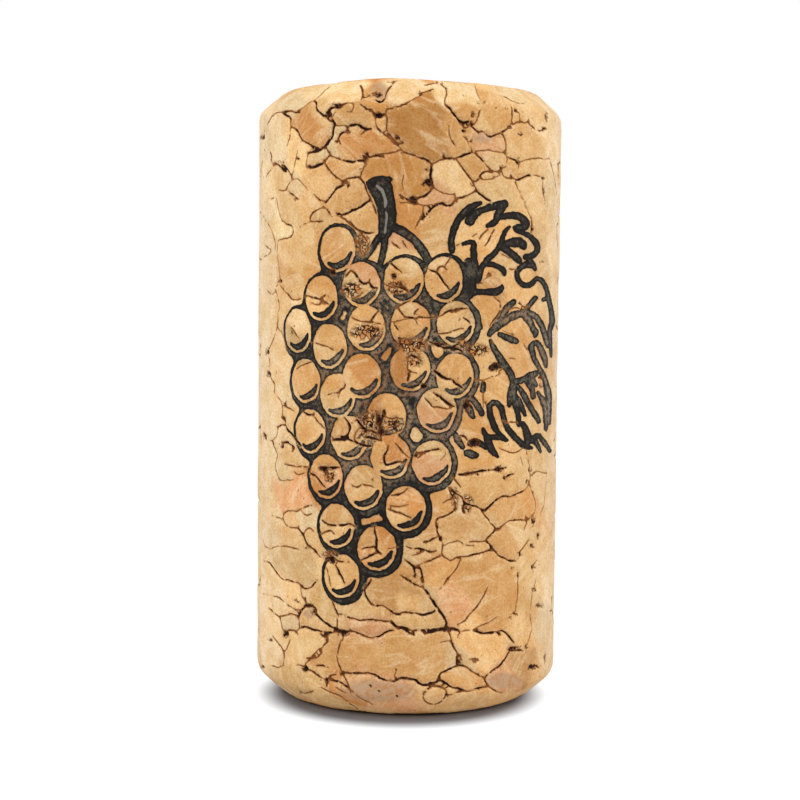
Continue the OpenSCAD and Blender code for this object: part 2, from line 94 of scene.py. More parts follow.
# Seams of the front as the camera sees them, in points of its frame, from the frame's upper left corner.
# Each is how far it gapes, from 0 to 1, and then the x and y of each of its points.
FRONT_SEAMS = [
    # left shoulder
    (0.3, 263, 132, 269, 119, 272, 115, 277, 112, 281, 111), (0.7, 281, 112, 286, 110, 299, 112),
    (0.9, 281, 112, 289, 118, 290, 121), (0.3, 290, 121, 289, 136, 286, 146),
    (0.6, 292, 127, 296, 130, 300, 138, 304, 142, 309, 145, 320, 149),
    (0.9, 307, 152, 311, 152, 320, 150, 322, 147),
    (1.0, 322, 148, 326, 144, 331, 136, 333, 126, 333, 121, 330, 120),
    (0.7, 314, 99, 316, 103, 315, 108, 318, 112, 327, 118, 330, 121),
    (1.0, 326, 117, 327, 111, 330, 107, 335, 105, 345, 103), (0.4, 345, 103, 350, 102, 354, 104),
    (0.4, 353, 103, 354, 107, 350, 112, 347, 111), (0.3, 330, 120, 333, 114, 338, 109, 344, 105),
    (0.6, 325, 148, 328, 152, 329, 155, 323, 162), (1.0, 308, 167, 312, 167, 317, 165, 321, 163, 323, 160),
    (0.25, 306, 168, 305, 163, 307, 155), (0.3, 296, 112, 303, 107, 308, 102, 313, 100),
    (0.35, 324, 90, 330, 86, 334, 82), (0.3, 316, 98, 327, 88),
    # left side above the print
    (0.4, 263, 150, 273, 164), (0.6, 269, 152, 271, 157), (0.9, 274, 163, 285, 172),
    (0.6, 281, 165, 286, 168, 291, 178), (0.25, 273, 166, 265, 177),
    (0.4, 278, 190, 283, 191, 286, 190, 286, 186, 290, 181), (0.5, 286, 190, 296, 199),
    (0.3, 270, 199, 275, 198), (0.25, 275, 198, 280, 220), (0.25, 303, 185, 307, 190),
    (0.25, 297, 150, 291, 178), (0.2, 290, 181, 297, 178, 308, 190),
    (0.6, 280, 220, 284, 223, 289, 225, 293, 230), (0.3, 307, 222, 296, 229),
    (0.5, 293, 232, 291, 236, 288, 238, 283, 238, 278, 240), (0.25, 262, 243, 271, 251, 267, 255, 263, 257),
    (0.25, 271, 231, 275, 243, 274, 249), (0.2, 262, 215, 270, 228),
    # middle shoulder
    (0.35, 336, 126, 340, 125, 345, 125, 348, 126),
    (1.0, 346, 130, 348, 126, 357, 124, 361, 127, 366, 129, 371, 129),
    (0.8, 336, 141, 338, 136, 341, 133, 346, 131), (0.8, 337, 140, 340, 144), (0.4, 361, 134, 366, 131),
    (0.7, 329, 156, 335, 157, 345, 161, 352, 162, 365, 160, 368, 157),
    (0.9, 363, 156, 368, 157, 373, 155, 378, 155, 383, 157), (0.5, 373, 155, 390, 153, 400, 150, 406, 153),
    (0.7, 360, 104, 371, 112), (1.0, 371, 110, 374, 114, 378, 117, 386, 112),
    (0.7, 386, 112, 386, 109, 392, 108, 404, 104, 409, 101), (0.5, 360, 99, 362, 96, 363, 91, 361, 86),
    (0.5, 362, 97, 367, 96, 372, 93, 376, 92), (0.9, 375, 99, 381, 101, 385, 97),
    (0.5, 385, 97, 387, 91, 396, 83),
    (0.5, 385, 113, 387, 118, 386, 124, 387, 131, 391, 137, 396, 141, 398, 145),
    (0.5, 375, 122, 377, 128, 391, 140), (0.5, 371, 112, 375, 117, 375, 122), (0.5, 391, 141, 400, 148),
    (0.5, 388, 84, 404, 82),
    # middle above the print
    (0.4, 366, 160, 360, 177), (0.3, 368, 160, 366, 167), (0.6, 323, 162, 330, 172, 338, 179),
    (0.6, 338, 179, 342, 181, 346, 178, 360, 177), (0.8, 343, 185, 338, 187, 333, 191, 322, 207),
    (0.5, 341, 182, 343, 185, 347, 182), (0.35, 313, 194, 316, 198, 320, 200, 324, 200),
    (0.6, 360, 177, 371, 200), (1.0, 371, 200, 366, 202, 356, 209, 350, 211, 345, 214, 339, 215),
    (0.5, 371, 201, 376, 213), (0.5, 338, 216, 344, 219, 354, 229),
    (0.5, 322, 208, 316, 210, 311, 214, 308, 219, 310, 222, 322, 221), (0.5, 325, 208, 328, 211, 331, 216),
    (0.9, 399, 195, 409, 200), (0.35, 403, 175, 402, 182, 403, 189),
    # right shoulder
    (0.5, 420, 93, 436, 88), (0.5, 424, 86, 436, 83), (0.7, 441, 84, 446, 88),
    (0.4, 446, 88, 447, 93, 445, 99, 445, 105), (0.3, 409, 101, 421, 95),
    (0.8, 445, 104, 449, 107, 460, 121, 464, 123, 470, 121, 474, 124),
    (0.4, 460, 124, 465, 128, 469, 127, 472, 124), (0.7, 472, 122, 472, 127, 479, 132),
    (0.4, 485, 100, 479, 113, 479, 118, 476, 122),
    (0.6, 479, 132, 484, 131, 488, 136, 492, 137, 503, 132, 508, 128, 511, 127),
    (0.4, 511, 127, 511, 124, 514, 124, 520, 121, 526, 123, 530, 119), (0.5, 512, 107, 513, 118, 511, 124),
    (0.8, 515, 108, 517, 111, 520, 113), (0.3, 520, 113, 521, 120),
    (0.3, 500, 95, 506, 96, 512, 100, 520, 103, 528, 102),
    (0.4, 530, 123, 533, 127, 538, 130, 543, 131, 546, 129), (0.4, 464, 137, 468, 140, 470, 146, 473, 151),
    (0.9, 473, 152, 457, 158), (0.6, 457, 158, 444, 159, 432, 164), (0.9, 444, 154, 444, 159),
    (0.9, 432, 164, 424, 158, 420, 158), (0.5, 420, 158, 400, 150), (0.25, 449, 125, 449, 132, 455, 146),
    (0.2, 475, 84, 477, 92, 480, 99),
    # right side above the print
    (1.0, 432, 164, 431, 176, 433, 188), (1.0, 433, 188, 426, 195, 413, 201, 401, 198),
    (0.3, 433, 188, 438, 190, 444, 194, 452, 194, 455, 193), (0.3, 455, 193, 456, 199, 453, 202),
    (0.6, 457, 199, 469, 195, 477, 190), (0.9, 477, 190, 487, 199, 492, 201), (0.5, 472, 181, 478, 190),
    (0.5, 474, 152, 481, 158, 489, 168, 495, 172, 500, 171, 502, 168),
    (0.35, 473, 152, 484, 150, 490, 150, 503, 152), (0.5, 457, 160, 461, 166, 466, 171, 469, 177, 472, 180),
    (0.6, 472, 180, 476, 182, 480, 178, 483, 173, 487, 171, 494, 173),
    (0.3, 480, 179, 487, 180, 494, 178, 500, 175), (0.4, 502, 168, 503, 174, 506, 178, 516, 179),
    (0.9, 511, 174, 514, 179), (0.3, 508, 157, 507, 167, 502, 168), (0.7, 508, 157, 518, 161, 520, 166),
    (0.4, 503, 152, 506, 153, 508, 157), (0.35, 520, 162, 526, 160, 540, 158, 548, 159),
    (0.4, 502, 133, 506, 140, 507, 152), (0.8, 517, 180, 522, 179, 528, 176, 534, 175),
    (0.3, 534, 175, 540, 176, 544, 178), (0.5, 544, 178, 544, 190, 546, 200), (0.3, 516, 183, 534, 224),
    (0.25, 550, 158, 556, 180, 558, 195), (0.4, 400, 203, 410, 203, 425, 206, 432, 204),
    (0.4, 414, 230, 421, 218, 423, 213, 424, 206), (1.0, 423, 219, 433, 207, 437, 205),
    (0.8, 437, 204, 443, 203, 447, 206, 452, 205, 457, 202), (0.7, 532, 221, 534, 226, 532, 232),
    # left side beside the grapes
    (0.5, 278, 271, 279, 281), (0.2, 277, 243, 276, 252, 278, 271),
    (0.4, 280, 286, 291, 299, 296, 300, 300, 298), (0.2, 266, 290, 271, 296, 275, 292, 274, 287, 278, 284),
    (0.2, 275, 290, 279, 308, 277, 313), (0.45, 277, 313, 276, 327, 272, 340, 268, 348, 267, 352),
    (0.25, 276, 327, 281, 333, 284, 342, 286, 352), (0.5, 262, 358, 262, 368),
    (0.25, 267, 352, 269, 362, 268, 374, 271, 380), (0.45, 271, 380, 274, 384, 273, 394),
    (0.25, 275, 395, 280, 401, 282, 408, 281, 417), (0.45, 285, 401, 284, 406, 293, 411),
    (0.9, 281, 417, 284, 421, 284, 427, 300, 446), (0.6, 276, 427, 281, 425), (0.7, 262, 433, 265, 440),
    (0.25, 265, 440, 271, 441, 276, 436, 277, 428), (0.9, 271, 441, 273, 446),
    (0.9, 280, 443, 285, 442, 293, 447, 291, 451), (0.25, 273, 446, 277, 455, 274, 464, 276, 474, 280, 480),
    (0.5, 284, 464, 289, 466, 308, 467), (0.35, 293, 472, 296, 475, 304, 473),
    (0.25, 275, 480, 283, 481, 292, 480), (0.6, 302, 508, 306, 506, 311, 506),
    (0.5, 303, 513, 306, 516, 311, 514),
    (0.4, 290, 511, 286, 511, 282, 514, 282, 519, 284, 524, 289, 528, 295, 529, 298, 526),
    (0.3, 290, 511, 297, 512, 302, 508), (0.3, 271, 515, 281, 519),
    # grapes at the top
    (0.6, 305, 296, 317, 298, 328, 304), (0.3, 310, 303, 316, 305, 323, 304),
    (0.6, 321, 297, 326, 295, 328, 296), (0.3, 290, 327, 298, 338), (0.4, 310, 342, 322, 345, 333, 350),
    (0.5, 296, 369, 300, 365, 311, 362), (0.7, 350, 222, 354, 228, 360, 231, 367, 233, 373, 233),
    (0.6, 360, 232, 366, 241, 368, 246, 366, 252), (0.5, 357, 240, 360, 245, 359, 250, 362, 255),
    (0.8, 352, 271, 356, 275, 358, 280, 362, 284, 367, 283, 369, 280), (0.8, 344, 277, 350, 271),
    (0.9, 369, 283, 371, 288, 377, 288), (0.7, 341, 291, 346, 288, 348, 292, 347, 297),
    (0.4, 352, 299, 363, 293), (0.7, 378, 311, 370, 321),
    (0.5, 352, 318, 357, 321, 370, 322, 376, 324, 385, 324), (0.4, 392, 322, 408, 319),
    (0.5, 395, 325, 399, 331), (0.6, 396, 308, 410, 300),
    (0.6, 400, 311, 405, 317, 413, 318, 422, 317, 432, 318, 440, 316), (0.5, 392, 242, 400, 249),
    (0.5, 403, 241, 406, 247), (0.6, 385, 284, 392, 287, 398, 286, 404, 289, 408, 293),
    (0.5, 400, 283, 408, 291), (0.8, 391, 264, 401, 272), (0.8, 427, 269, 437, 272, 449, 289),
    (0.6, 437, 272, 438, 268, 441, 266, 445, 266, 447, 270), (0.6, 450, 259, 445, 266),
    (0.7, 443, 315, 449, 311, 456, 309, 467, 308), (0.5, 452, 313, 460, 311),
    (0.8, 464, 318, 468, 320, 470, 323), (0.5, 438, 334, 446, 334, 460, 329, 464, 329),
    (0.4, 415, 319, 417, 324), (0.7, 414, 314, 418, 309), (1.0, 430, 342, 445, 348, 453, 348, 458, 344),
    (1.0, 452, 350, 460, 349, 463, 352),
    # grapes in the middle
    (0.7, 409, 356, 413, 355, 421, 361), (0.5, 408, 358, 407, 366, 408, 371, 416, 373),
    (0.9, 409, 375, 408, 381), (1.0, 434, 371, 446, 379, 452, 380, 463, 388), (1.0, 434, 393, 454, 407),
    (0.4, 425, 398, 432, 406, 445, 409, 451, 409), (0.7, 302, 412, 307, 415, 311, 415, 313, 413),
    (0.4, 313, 415, 320, 425, 325, 430), (0.8, 328, 395, 339, 392), (0.4, 339, 393, 338, 398),
    (0.8, 340, 389, 344, 388, 345, 381), (0.8, 344, 418, 350, 427, 346, 437, 332, 437),
    (0.4, 350, 426, 354, 420, 357, 418), (0.4, 354, 440, 355, 433, 360, 427),
    (0.9, 332, 441, 346, 439, 365, 446, 373, 446), (0.9, 375, 411, 377, 419, 376, 424),
    (1.0, 384, 411, 379, 427, 381, 440), (1.0, 356, 418, 364, 430, 378, 433), (0.9, 364, 437, 379, 440),
    (0.5, 387, 418, 392, 419, 397, 417, 401, 419),
    (0.8, 388, 446, 387, 452, 383, 456, 384, 462, 386, 466, 398, 462, 404, 463),
    (0.5, 395, 443, 405, 455, 409, 458), (0.9, 318, 468, 338, 468),
    (0.8, 310, 474, 315, 476, 320, 484, 324, 487),
    (0.5, 351, 484, 353, 487, 358, 487, 362, 485, 368, 485, 373, 488),
    (0.8, 417, 452, 421, 453, 438, 449, 444, 449), (0.6, 418, 458, 427, 452),
    (0.3, 441, 460, 444, 458, 446, 454),
    # grapes at the tip
    (0.7, 392, 496, 398, 495, 403, 493, 407, 489), (0.35, 386, 505, 401, 507, 408, 505),
    (0.6, 388, 510, 400, 513, 405, 516, 411, 518), (0.8, 322, 521, 326, 525, 342, 526, 349, 524, 354, 526),
    (0.7, 322, 533, 330, 530, 333, 534), (0.9, 335, 566, 343, 582), (0.4, 326, 568, 330, 586),
    (0.7, 325, 553, 338, 562, 348, 562), (0.8, 361, 549, 374, 546),
    (0.8, 374, 527, 376, 541, 375, 547, 377, 553, 383, 555), (0.7, 361, 561, 376, 553),
    (0.3, 388, 549, 398, 547),
    # leaf
    (0.6, 480, 239, 488, 230), (0.7, 486, 245, 490, 240, 495, 230), (0.6, 473, 236, 477, 234),
    (0.6, 457, 245, 461, 243), (0.4, 502, 254, 511, 258), (0.4, 510, 269, 517, 270),
    (0.6, 541, 262, 545, 262), (0.5, 488, 275, 490, 272, 492, 276), (0.35, 484, 280, 490, 277),
    (0.5, 495, 297, 499, 300, 501, 305, 501, 311, 491, 326), (0.35, 506, 310, 512, 308, 519, 308, 524, 310),
    (0.35, 521, 303, 525, 308, 530, 306), (0.5, 492, 340, 494, 343), (0.3, 504, 331, 514, 335),
    (0.3, 510, 358, 516, 359), (0.5, 525, 344, 528, 350), (0.8, 500, 371, 503, 369),
    (0.4, 488, 379, 494, 376, 501, 374), (0.4, 475, 379, 481, 381, 488, 379),
    (0.8, 460, 436, 466, 437, 468, 440), (0.4, 484, 393, 483, 400, 484, 407),
    (0.4, 503, 420, 508, 423, 513, 422, 518, 423),
    # right side below the leaf
    (1.0, 459, 475, 471, 474, 478, 472, 507, 468), (0.9, 507, 477, 515, 474), (0.4, 452, 476, 461, 487),
    (0.6, 449, 487, 453, 498, 456, 502), (0.7, 451, 488, 455, 493, 463, 498),
    (1.0, 465, 506, 463, 511, 465, 513), (1.0, 456, 505, 455, 510),
    (0.9, 463, 498, 467, 505, 472, 505, 479, 508), (0.5, 443, 503, 455, 497),
    (0.6, 436, 525, 435, 521, 440, 518, 445, 517, 457, 509), (0.9, 482, 511, 486, 511),
    (0.6, 483, 512, 495, 528, 498, 530), (0.7, 479, 508, 485, 511, 499, 499, 505, 496, 511, 497),
    (0.7, 511, 497, 521, 493, 526, 490), (0.3, 526, 490, 529, 486, 531, 481, 531, 477),
    (0.4, 531, 477, 538, 471), (0.25, 538, 471, 544, 473, 548, 473), (0.25, 527, 449, 531, 470, 531, 477),
    (0.2, 521, 457, 524, 466), (0.4, 500, 448, 508, 452, 516, 453, 522, 450, 524, 448),
    (0.4, 500, 530, 504, 525, 509, 521, 516, 520, 530, 520), (0.4, 526, 516, 529, 519, 525, 530),
    (0.25, 531, 487, 537, 503, 536, 512, 530, 519), (0.2, 548, 473, 545, 505, 541, 516),
    # left side below the print
    (0.6, 297, 528, 304, 538, 305, 543, 308, 547, 312, 549, 319, 557),
    (0.4, 303, 534, 306, 529, 309, 527, 313, 532), (0.45, 276, 546, 288, 547, 298, 550),
    (0.25, 262, 540, 264, 547, 270, 549, 276, 546), (0.6, 263, 561, 268, 562, 279, 578, 297, 583),
    (0.6, 297, 583, 305, 590, 310, 588, 317, 579), (0.3, 300, 587, 300, 593, 303, 600),
    (0.7, 305, 598, 305, 604), (0.3, 262, 594, 277, 597, 294, 610, 300, 610),
    (1.0, 304, 606, 312, 607, 315, 610, 314, 614), (0.9, 303, 608, 299, 612, 297, 617, 298, 628),
    (1.0, 315, 613, 318, 618, 322, 622, 332, 628), (0.8, 298, 629, 304, 627, 316, 631, 328, 633, 335, 632),
    (0.6, 320, 632, 320, 636, 325, 637, 328, 634), (0.5, 268, 608, 278, 617, 280, 622, 281, 628, 284, 634),
    (0.5, 278, 617, 290, 614, 295, 615), (0.6, 286, 631, 289, 630, 295, 631, 297, 634),
    (0.5, 271, 635, 280, 647, 284, 656), (0.4, 289, 640, 287, 647, 284, 652), (0.3, 284, 652, 282, 666),
    (0.45, 305, 664, 317, 650, 321, 648, 321, 652, 318, 657, 312, 659), (0.5, 321, 648, 328, 640, 325, 637),
    (0.6, 300, 665, 304, 669, 310, 671, 322, 679, 326, 680), (0.3, 270, 666, 276, 667, 298, 665),
    (0.6, 315, 666, 320, 665, 328, 668), (0.4, 298, 692, 302, 694, 308, 694, 313, 691),
    (0.3, 262, 668, 268, 680, 276, 688, 284, 693),
    # middle below the print
    (0.6, 332, 602, 337, 614, 336, 626, 337, 630), (0.6, 337, 614, 358, 620, 368, 620, 385, 622, 392, 621),
    (1.0, 332, 628, 340, 633, 346, 633, 349, 630), (0.8, 343, 634, 342, 640),
    (0.7, 347, 632, 353, 631, 366, 637, 374, 638, 380, 636, 387, 632, 394, 630),
    (0.7, 394, 630, 406, 628, 412, 631),
    (0.7, 371, 580, 369, 584, 365, 588, 364, 594, 370, 604, 376, 606, 383, 606),
    (0.7, 383, 606, 393, 613, 399, 615, 403, 613, 410, 612), (0.9, 390, 622, 397, 627, 408, 628),
    (0.5, 340, 641, 336, 656, 337, 662, 341, 672),
    (0.7, 340, 675, 343, 673, 350, 674, 366, 673, 373, 675, 380, 679, 388, 681),
    (0.8, 388, 681, 394, 682, 400, 679, 408, 679), (0.7, 326, 680, 330, 676, 335, 675),
    (0.9, 326, 680, 326, 685), (0.7, 328, 680, 340, 683, 345, 686, 349, 690, 350, 694),
    (0.5, 321, 688, 340, 697, 357, 710), (0.4, 335, 688, 346, 694),
    (0.6, 358, 697, 362, 701, 368, 703, 372, 706), (0.35, 396, 670, 395, 676),
    (0.4, 341, 672, 346, 680, 350, 690, 358, 697),
    # right side below the print
    (0.6, 436, 520, 438, 533, 441, 539), (0.5, 442, 541, 443, 547, 442, 555),
    (0.6, 424, 543, 429, 542, 433, 539, 438, 537),
    (0.7, 406, 547, 412, 549, 418, 548, 425, 551, 431, 552, 436, 551), (0.4, 412, 556, 424, 552),
    (0.7, 405, 560, 414, 568, 415, 577), (0.6, 415, 567, 421, 568, 424, 583),
    (0.5, 400, 575, 419, 587, 424, 588), (0.9, 421, 580, 424, 588, 447, 622),
    (0.9, 447, 622, 447, 626, 445, 629, 412, 631),
    (0.7, 400, 613, 408, 612, 420, 615, 427, 615, 433, 613, 436, 609), (1.0, 402, 628, 410, 634, 414, 635),
    (1.0, 425, 634, 448, 629, 459, 630), (0.6, 447, 630, 450, 633, 453, 646, 458, 655),
    (0.5, 441, 643, 450, 641), (1.0, 458, 655, 458, 665), (0.8, 438, 679, 441, 674, 457, 666, 466, 667),
    (0.5, 466, 667, 478, 675, 485, 678), (0.9, 408, 679, 416, 680, 419, 684, 425, 686, 437, 683, 440, 680),
    (0.8, 440, 680, 453, 688, 468, 692, 482, 688, 489, 687), (0.8, 485, 678, 487, 683, 490, 687),
    (0.8, 485, 678, 502, 665, 507, 659, 510, 652), (1.0, 510, 650, 524, 651),
    (0.4, 470, 630, 463, 631, 459, 633, 458, 637), (0.9, 474, 631, 486, 634, 499, 632),
    (0.6, 499, 632, 503, 631, 508, 634, 515, 643), (0.5, 458, 625, 464, 622, 478, 606, 486, 594, 488, 588),
    (0.35, 474, 629, 480, 626, 487, 624, 498, 617), (0.35, 443, 546, 450, 543, 458, 541, 465, 545, 474, 546),
    (0.5, 470, 542, 482, 542, 486, 541), (0.6, 486, 541, 490, 536, 498, 529, 504, 526),
    (0.7, 486, 541, 496, 551, 500, 557, 505, 558, 511, 561, 517, 562),
    (0.6, 451, 561, 456, 558, 475, 555, 483, 553, 489, 550, 494, 551), (0.5, 442, 555, 451, 561),
    (0.5, 425, 563, 442, 555), (0.35, 415, 566, 425, 563),
    (0.4, 461, 560, 456, 570, 448, 579, 444, 586, 440, 589), (0.4, 517, 562, 520, 557, 521, 552, 530, 540),
    (0.4, 538, 560, 534, 566, 534, 573), (0.3, 518, 570, 519, 575, 519, 583, 518, 600, 516, 612),
    (0.4, 537, 580, 535, 588), (0.25, 533, 628, 531, 618, 533, 593), (0.25, 528, 646, 533, 628),
    (0.5, 424, 695, 423, 700, 427, 704, 433, 706, 440, 704, 445, 699, 447, 693, 444, 688),
    (0.5, 444, 688, 437, 686, 430, 688, 425, 693), (0.4, 448, 696, 463, 691, 470, 692),
    (0.4, 470, 660, 476, 658, 480, 661, 474, 663), (0.4, 460, 655, 463, 661), (0.5, 533, 665, 529, 670),
    (0.5, 535, 665, 540, 668), (0.4, 490, 687, 496, 692, 503, 694),
]
# Torn pits of the front, in the same points: middle, half width, half height, and how dark, from 0 to 1
FRONT_PITS = [
    # shoulder
    (336, 105, 5, 3, 1), (328, 114, 3, 4, 0.7), (330, 151, 1.5, 3, 1), (308, 167, 2, 1.5, 1),
    (348, 132, 2, 2, 1), (337, 141, 2, 2, 1), (366, 155, 2, 3, 1), (348, 185, 1.5, 2.5, 0.9),
    (378, 94, 4, 1.8, 0.5), (378, 115, 5, 3, 1), (397, 137, 2.5, 2, 1), (399, 144, 2, 1.5, 0.8),
    (420, 93, 2, 1.5, 1), (436, 83, 1.5, 1.2, 0.9), (464, 131, 2, 1.6, 1), (478, 132, 2, 1.3, 1),
    (473, 115, 1.4, 2.4, 0.8), (472, 124, 2, 3, 0.8), (510, 127, 2, 1.3, 1), (517, 111, 1.8, 2, 0.9),
    (545, 129, 1.3, 2, 0.9), (547, 116, 1.2, 3, 0.9), (521, 134, 2, 1.2, 0.9), (472, 141, 1.2, 1.5, 0.9),
    (507, 108, 1.3, 1.3, 0.8), (479, 102, 1.2, 1.2, 0.8), (403, 152, 2.5, 1, 0.9), (402, 142, 1.5, 1.5, 0.9),
    # above the print
    (281, 162, 1.5, 1, 1), (295, 199, 2, 1.4, 0.7), (297, 158, 2, 1.2, 0.5), (338, 214, 2.5, 1.5, 0.7),
    (428, 182, 4, 4, 1), (432, 187, 2.5, 2, 1), (424, 184, 2, 2, 1), (414, 198, 4, 2, 0.8),
    (427, 170, 1.5, 1.5, 0.9), (403, 199, 2, 1.2, 1), (502, 168, 1.6, 2, 1), (519, 163, 1.2, 3.5, 1),
    (506, 153, 1.4, 1.3, 0.9), (544, 178, 2, 1.2, 0.7), (544, 190, 1, 2, 0.8), (473, 185, 2, 1.3, 0.9),
    (449, 159, 6, 1.2, 0.9), (444, 157, 1.2, 2.5, 0.9), (262, 137, 1.5, 2, 0.5), (533, 229, 1.3, 3, 0.8),
    # print
    (279, 281, 2.2, 2, 0.7), (267, 352, 1.5, 2.5, 0.8), (268, 374, 2, 2.5, 1), (291, 332, 1.3, 1.3, 0.5),
    (394, 276, 3, 3, 0.8), (409, 375, 1.8, 2, 1), (481, 283, 1.8, 1.5, 0.9), (496.5, 367, 4, 3, 1),
    (493, 370, 4, 2, 0.8), (541, 377.5, 1.3, 1.2, 1), (542, 386, 1.5, 2, 0.5), (521, 303, 1.2, 1, 0.8),
    (284, 405, 1.5, 2.5, 0.6), (283, 418, 1.5, 2, 0.9), (281, 446, 2, 2.5, 0.7), (264, 436, 1.3, 2.5, 0.8),
    (322, 469, 3.5, 3, 1), (326, 472, 2, 1.5, 1), (379, 421, 3, 6, 1), (384, 413, 1.5, 4, 1),
    (367, 432, 5, 1.8, 1), (381, 432, 3, 4, 1), (424, 386, 3, 2, 1), (467, 406, 2.5, 5, 0.9),
    (475, 443, 5, 4, 1), (486, 402, 1, 2, 0.6), (440, 345, 8, 2, 1), (499.5, 469, 4.5, 3, 1),
    (470, 474, 6, 1.3, 1), (332, 272, 3, 4, 0.9), (330, 560, 5, 3.5, 0.75), (416, 455, 2, 2.5, 1),
    (410, 465, 2, 1.5, 1), (372, 480, 1.2, 1.5, 0.8), (460, 320, 1, 1, 0.8),
    # below the print
    (506, 478, 2.5, 2, 0.6), (464, 509, 1.5, 3, 1), (455, 508, 1.5, 2.5, 1), (483, 511, 2, 1.2, 1),
    (528, 482, 1.8, 1.5, 0.9), (531, 470, 1.3, 1.8, 0.9), (534, 521, 1.5, 4, 0.85), (516, 520, 1.2, 1.2, 0.9),
    (441, 539, 2, 2.2, 1), (426, 542, 2.5, 1, 0.8), (415, 575, 1.8, 2, 1), (533, 546, 2, 2, 1),
    (539, 536, 1.5, 2.5, 0.7), (534, 567, 1.6, 2, 1), (513, 568, 1.8, 1, 1), (535, 590, 2, 2.2, 0.9),
    (541, 606, 3, 1.5, 0.9), (516, 614, 2, 2, 0.7), (511, 618, 1.8, 1.2, 0.8), (515, 649, 6, 2.5, 1),
    (527, 647, 2, 1.8, 0.9), (500, 634, 1.8, 2, 0.9), (458, 660, 1.2, 5, 1), (431, 684, 2.2, 2, 1),
    (447, 697, 2, 1.8, 1), (424, 694, 1.5, 2, 0.9), (475, 609, 1.8, 1.4, 0.8), (449, 579, 1.3, 1.2, 0.9),
    (521, 554, 1.3, 2, 0.8), (519, 575, 1, 1.6, 0.8), (445, 630, 8, 1.8, 1), (412, 634, 3, 1.5, 1),
    (404, 679, 7, 1.3, 1), (308, 606, 4, 1.8, 1), (313, 611, 2, 3, 1), (343, 633, 6, 3, 1),
    (285, 634, 3, 3.5, 0.8), (270, 640, 1.4, 1.2, 0.8), (347, 620, 1.3, 1, 0.8), (296, 601, 2.5, 1, 0.6),
    (308, 659, 1.8, 1.8, 0.9), (304, 669, 3, 3, 1), (326, 681, 2, 3, 1), (262, 667, 1.5, 1.3, 0.6),
    (379, 692, 1.3, 1.2, 0.8), (370, 686, 1.5, 0.8, 0.6), (397, 697, 1, 1, 0.6), (301, 693, 1.3, 1.5, 0.8),
    (308, 547, 2, 1.3, 0.9), (461, 662, 1.5, 1.5, 0.5), (533, 667, 4, 2, 0.5), (546, 658, 1, 3, 0.6),
    (366, 586, 1.4, 1.4, 0.8), (342, 674, 1.5, 1.5, 0.9), (392, 681, 3, 1, 0.9), (357, 674, 3, 0.8, 0.9),
]
# Crumbled places of the front, in the same points: middle, half width and half height
CRUMBLED = [
    (478, 350, 10, 5), (462, 344, 5, 4), (362, 244, 7, 11), (352, 290, 9, 7), (367, 332, 15, 7),
    (372, 424, 12, 12), (368, 436, 12, 4), (468, 504, 5, 8), (414, 360, 8, 6), (396, 287, 9, 6),
    (329, 474, 5, 8), (395, 425, 8, 7), (412, 345, 14, 7), (330, 556, 8, 4), (455, 498, 4, 9),
]
# Places where torn granules are greyish, in the same way
BARE_GREY = [
    (378, 691, 34, 10), (505, 681, 17, 7), (484, 138, 9, 4), (309, 613, 5, 5), (380, 92, 8, 7),
]
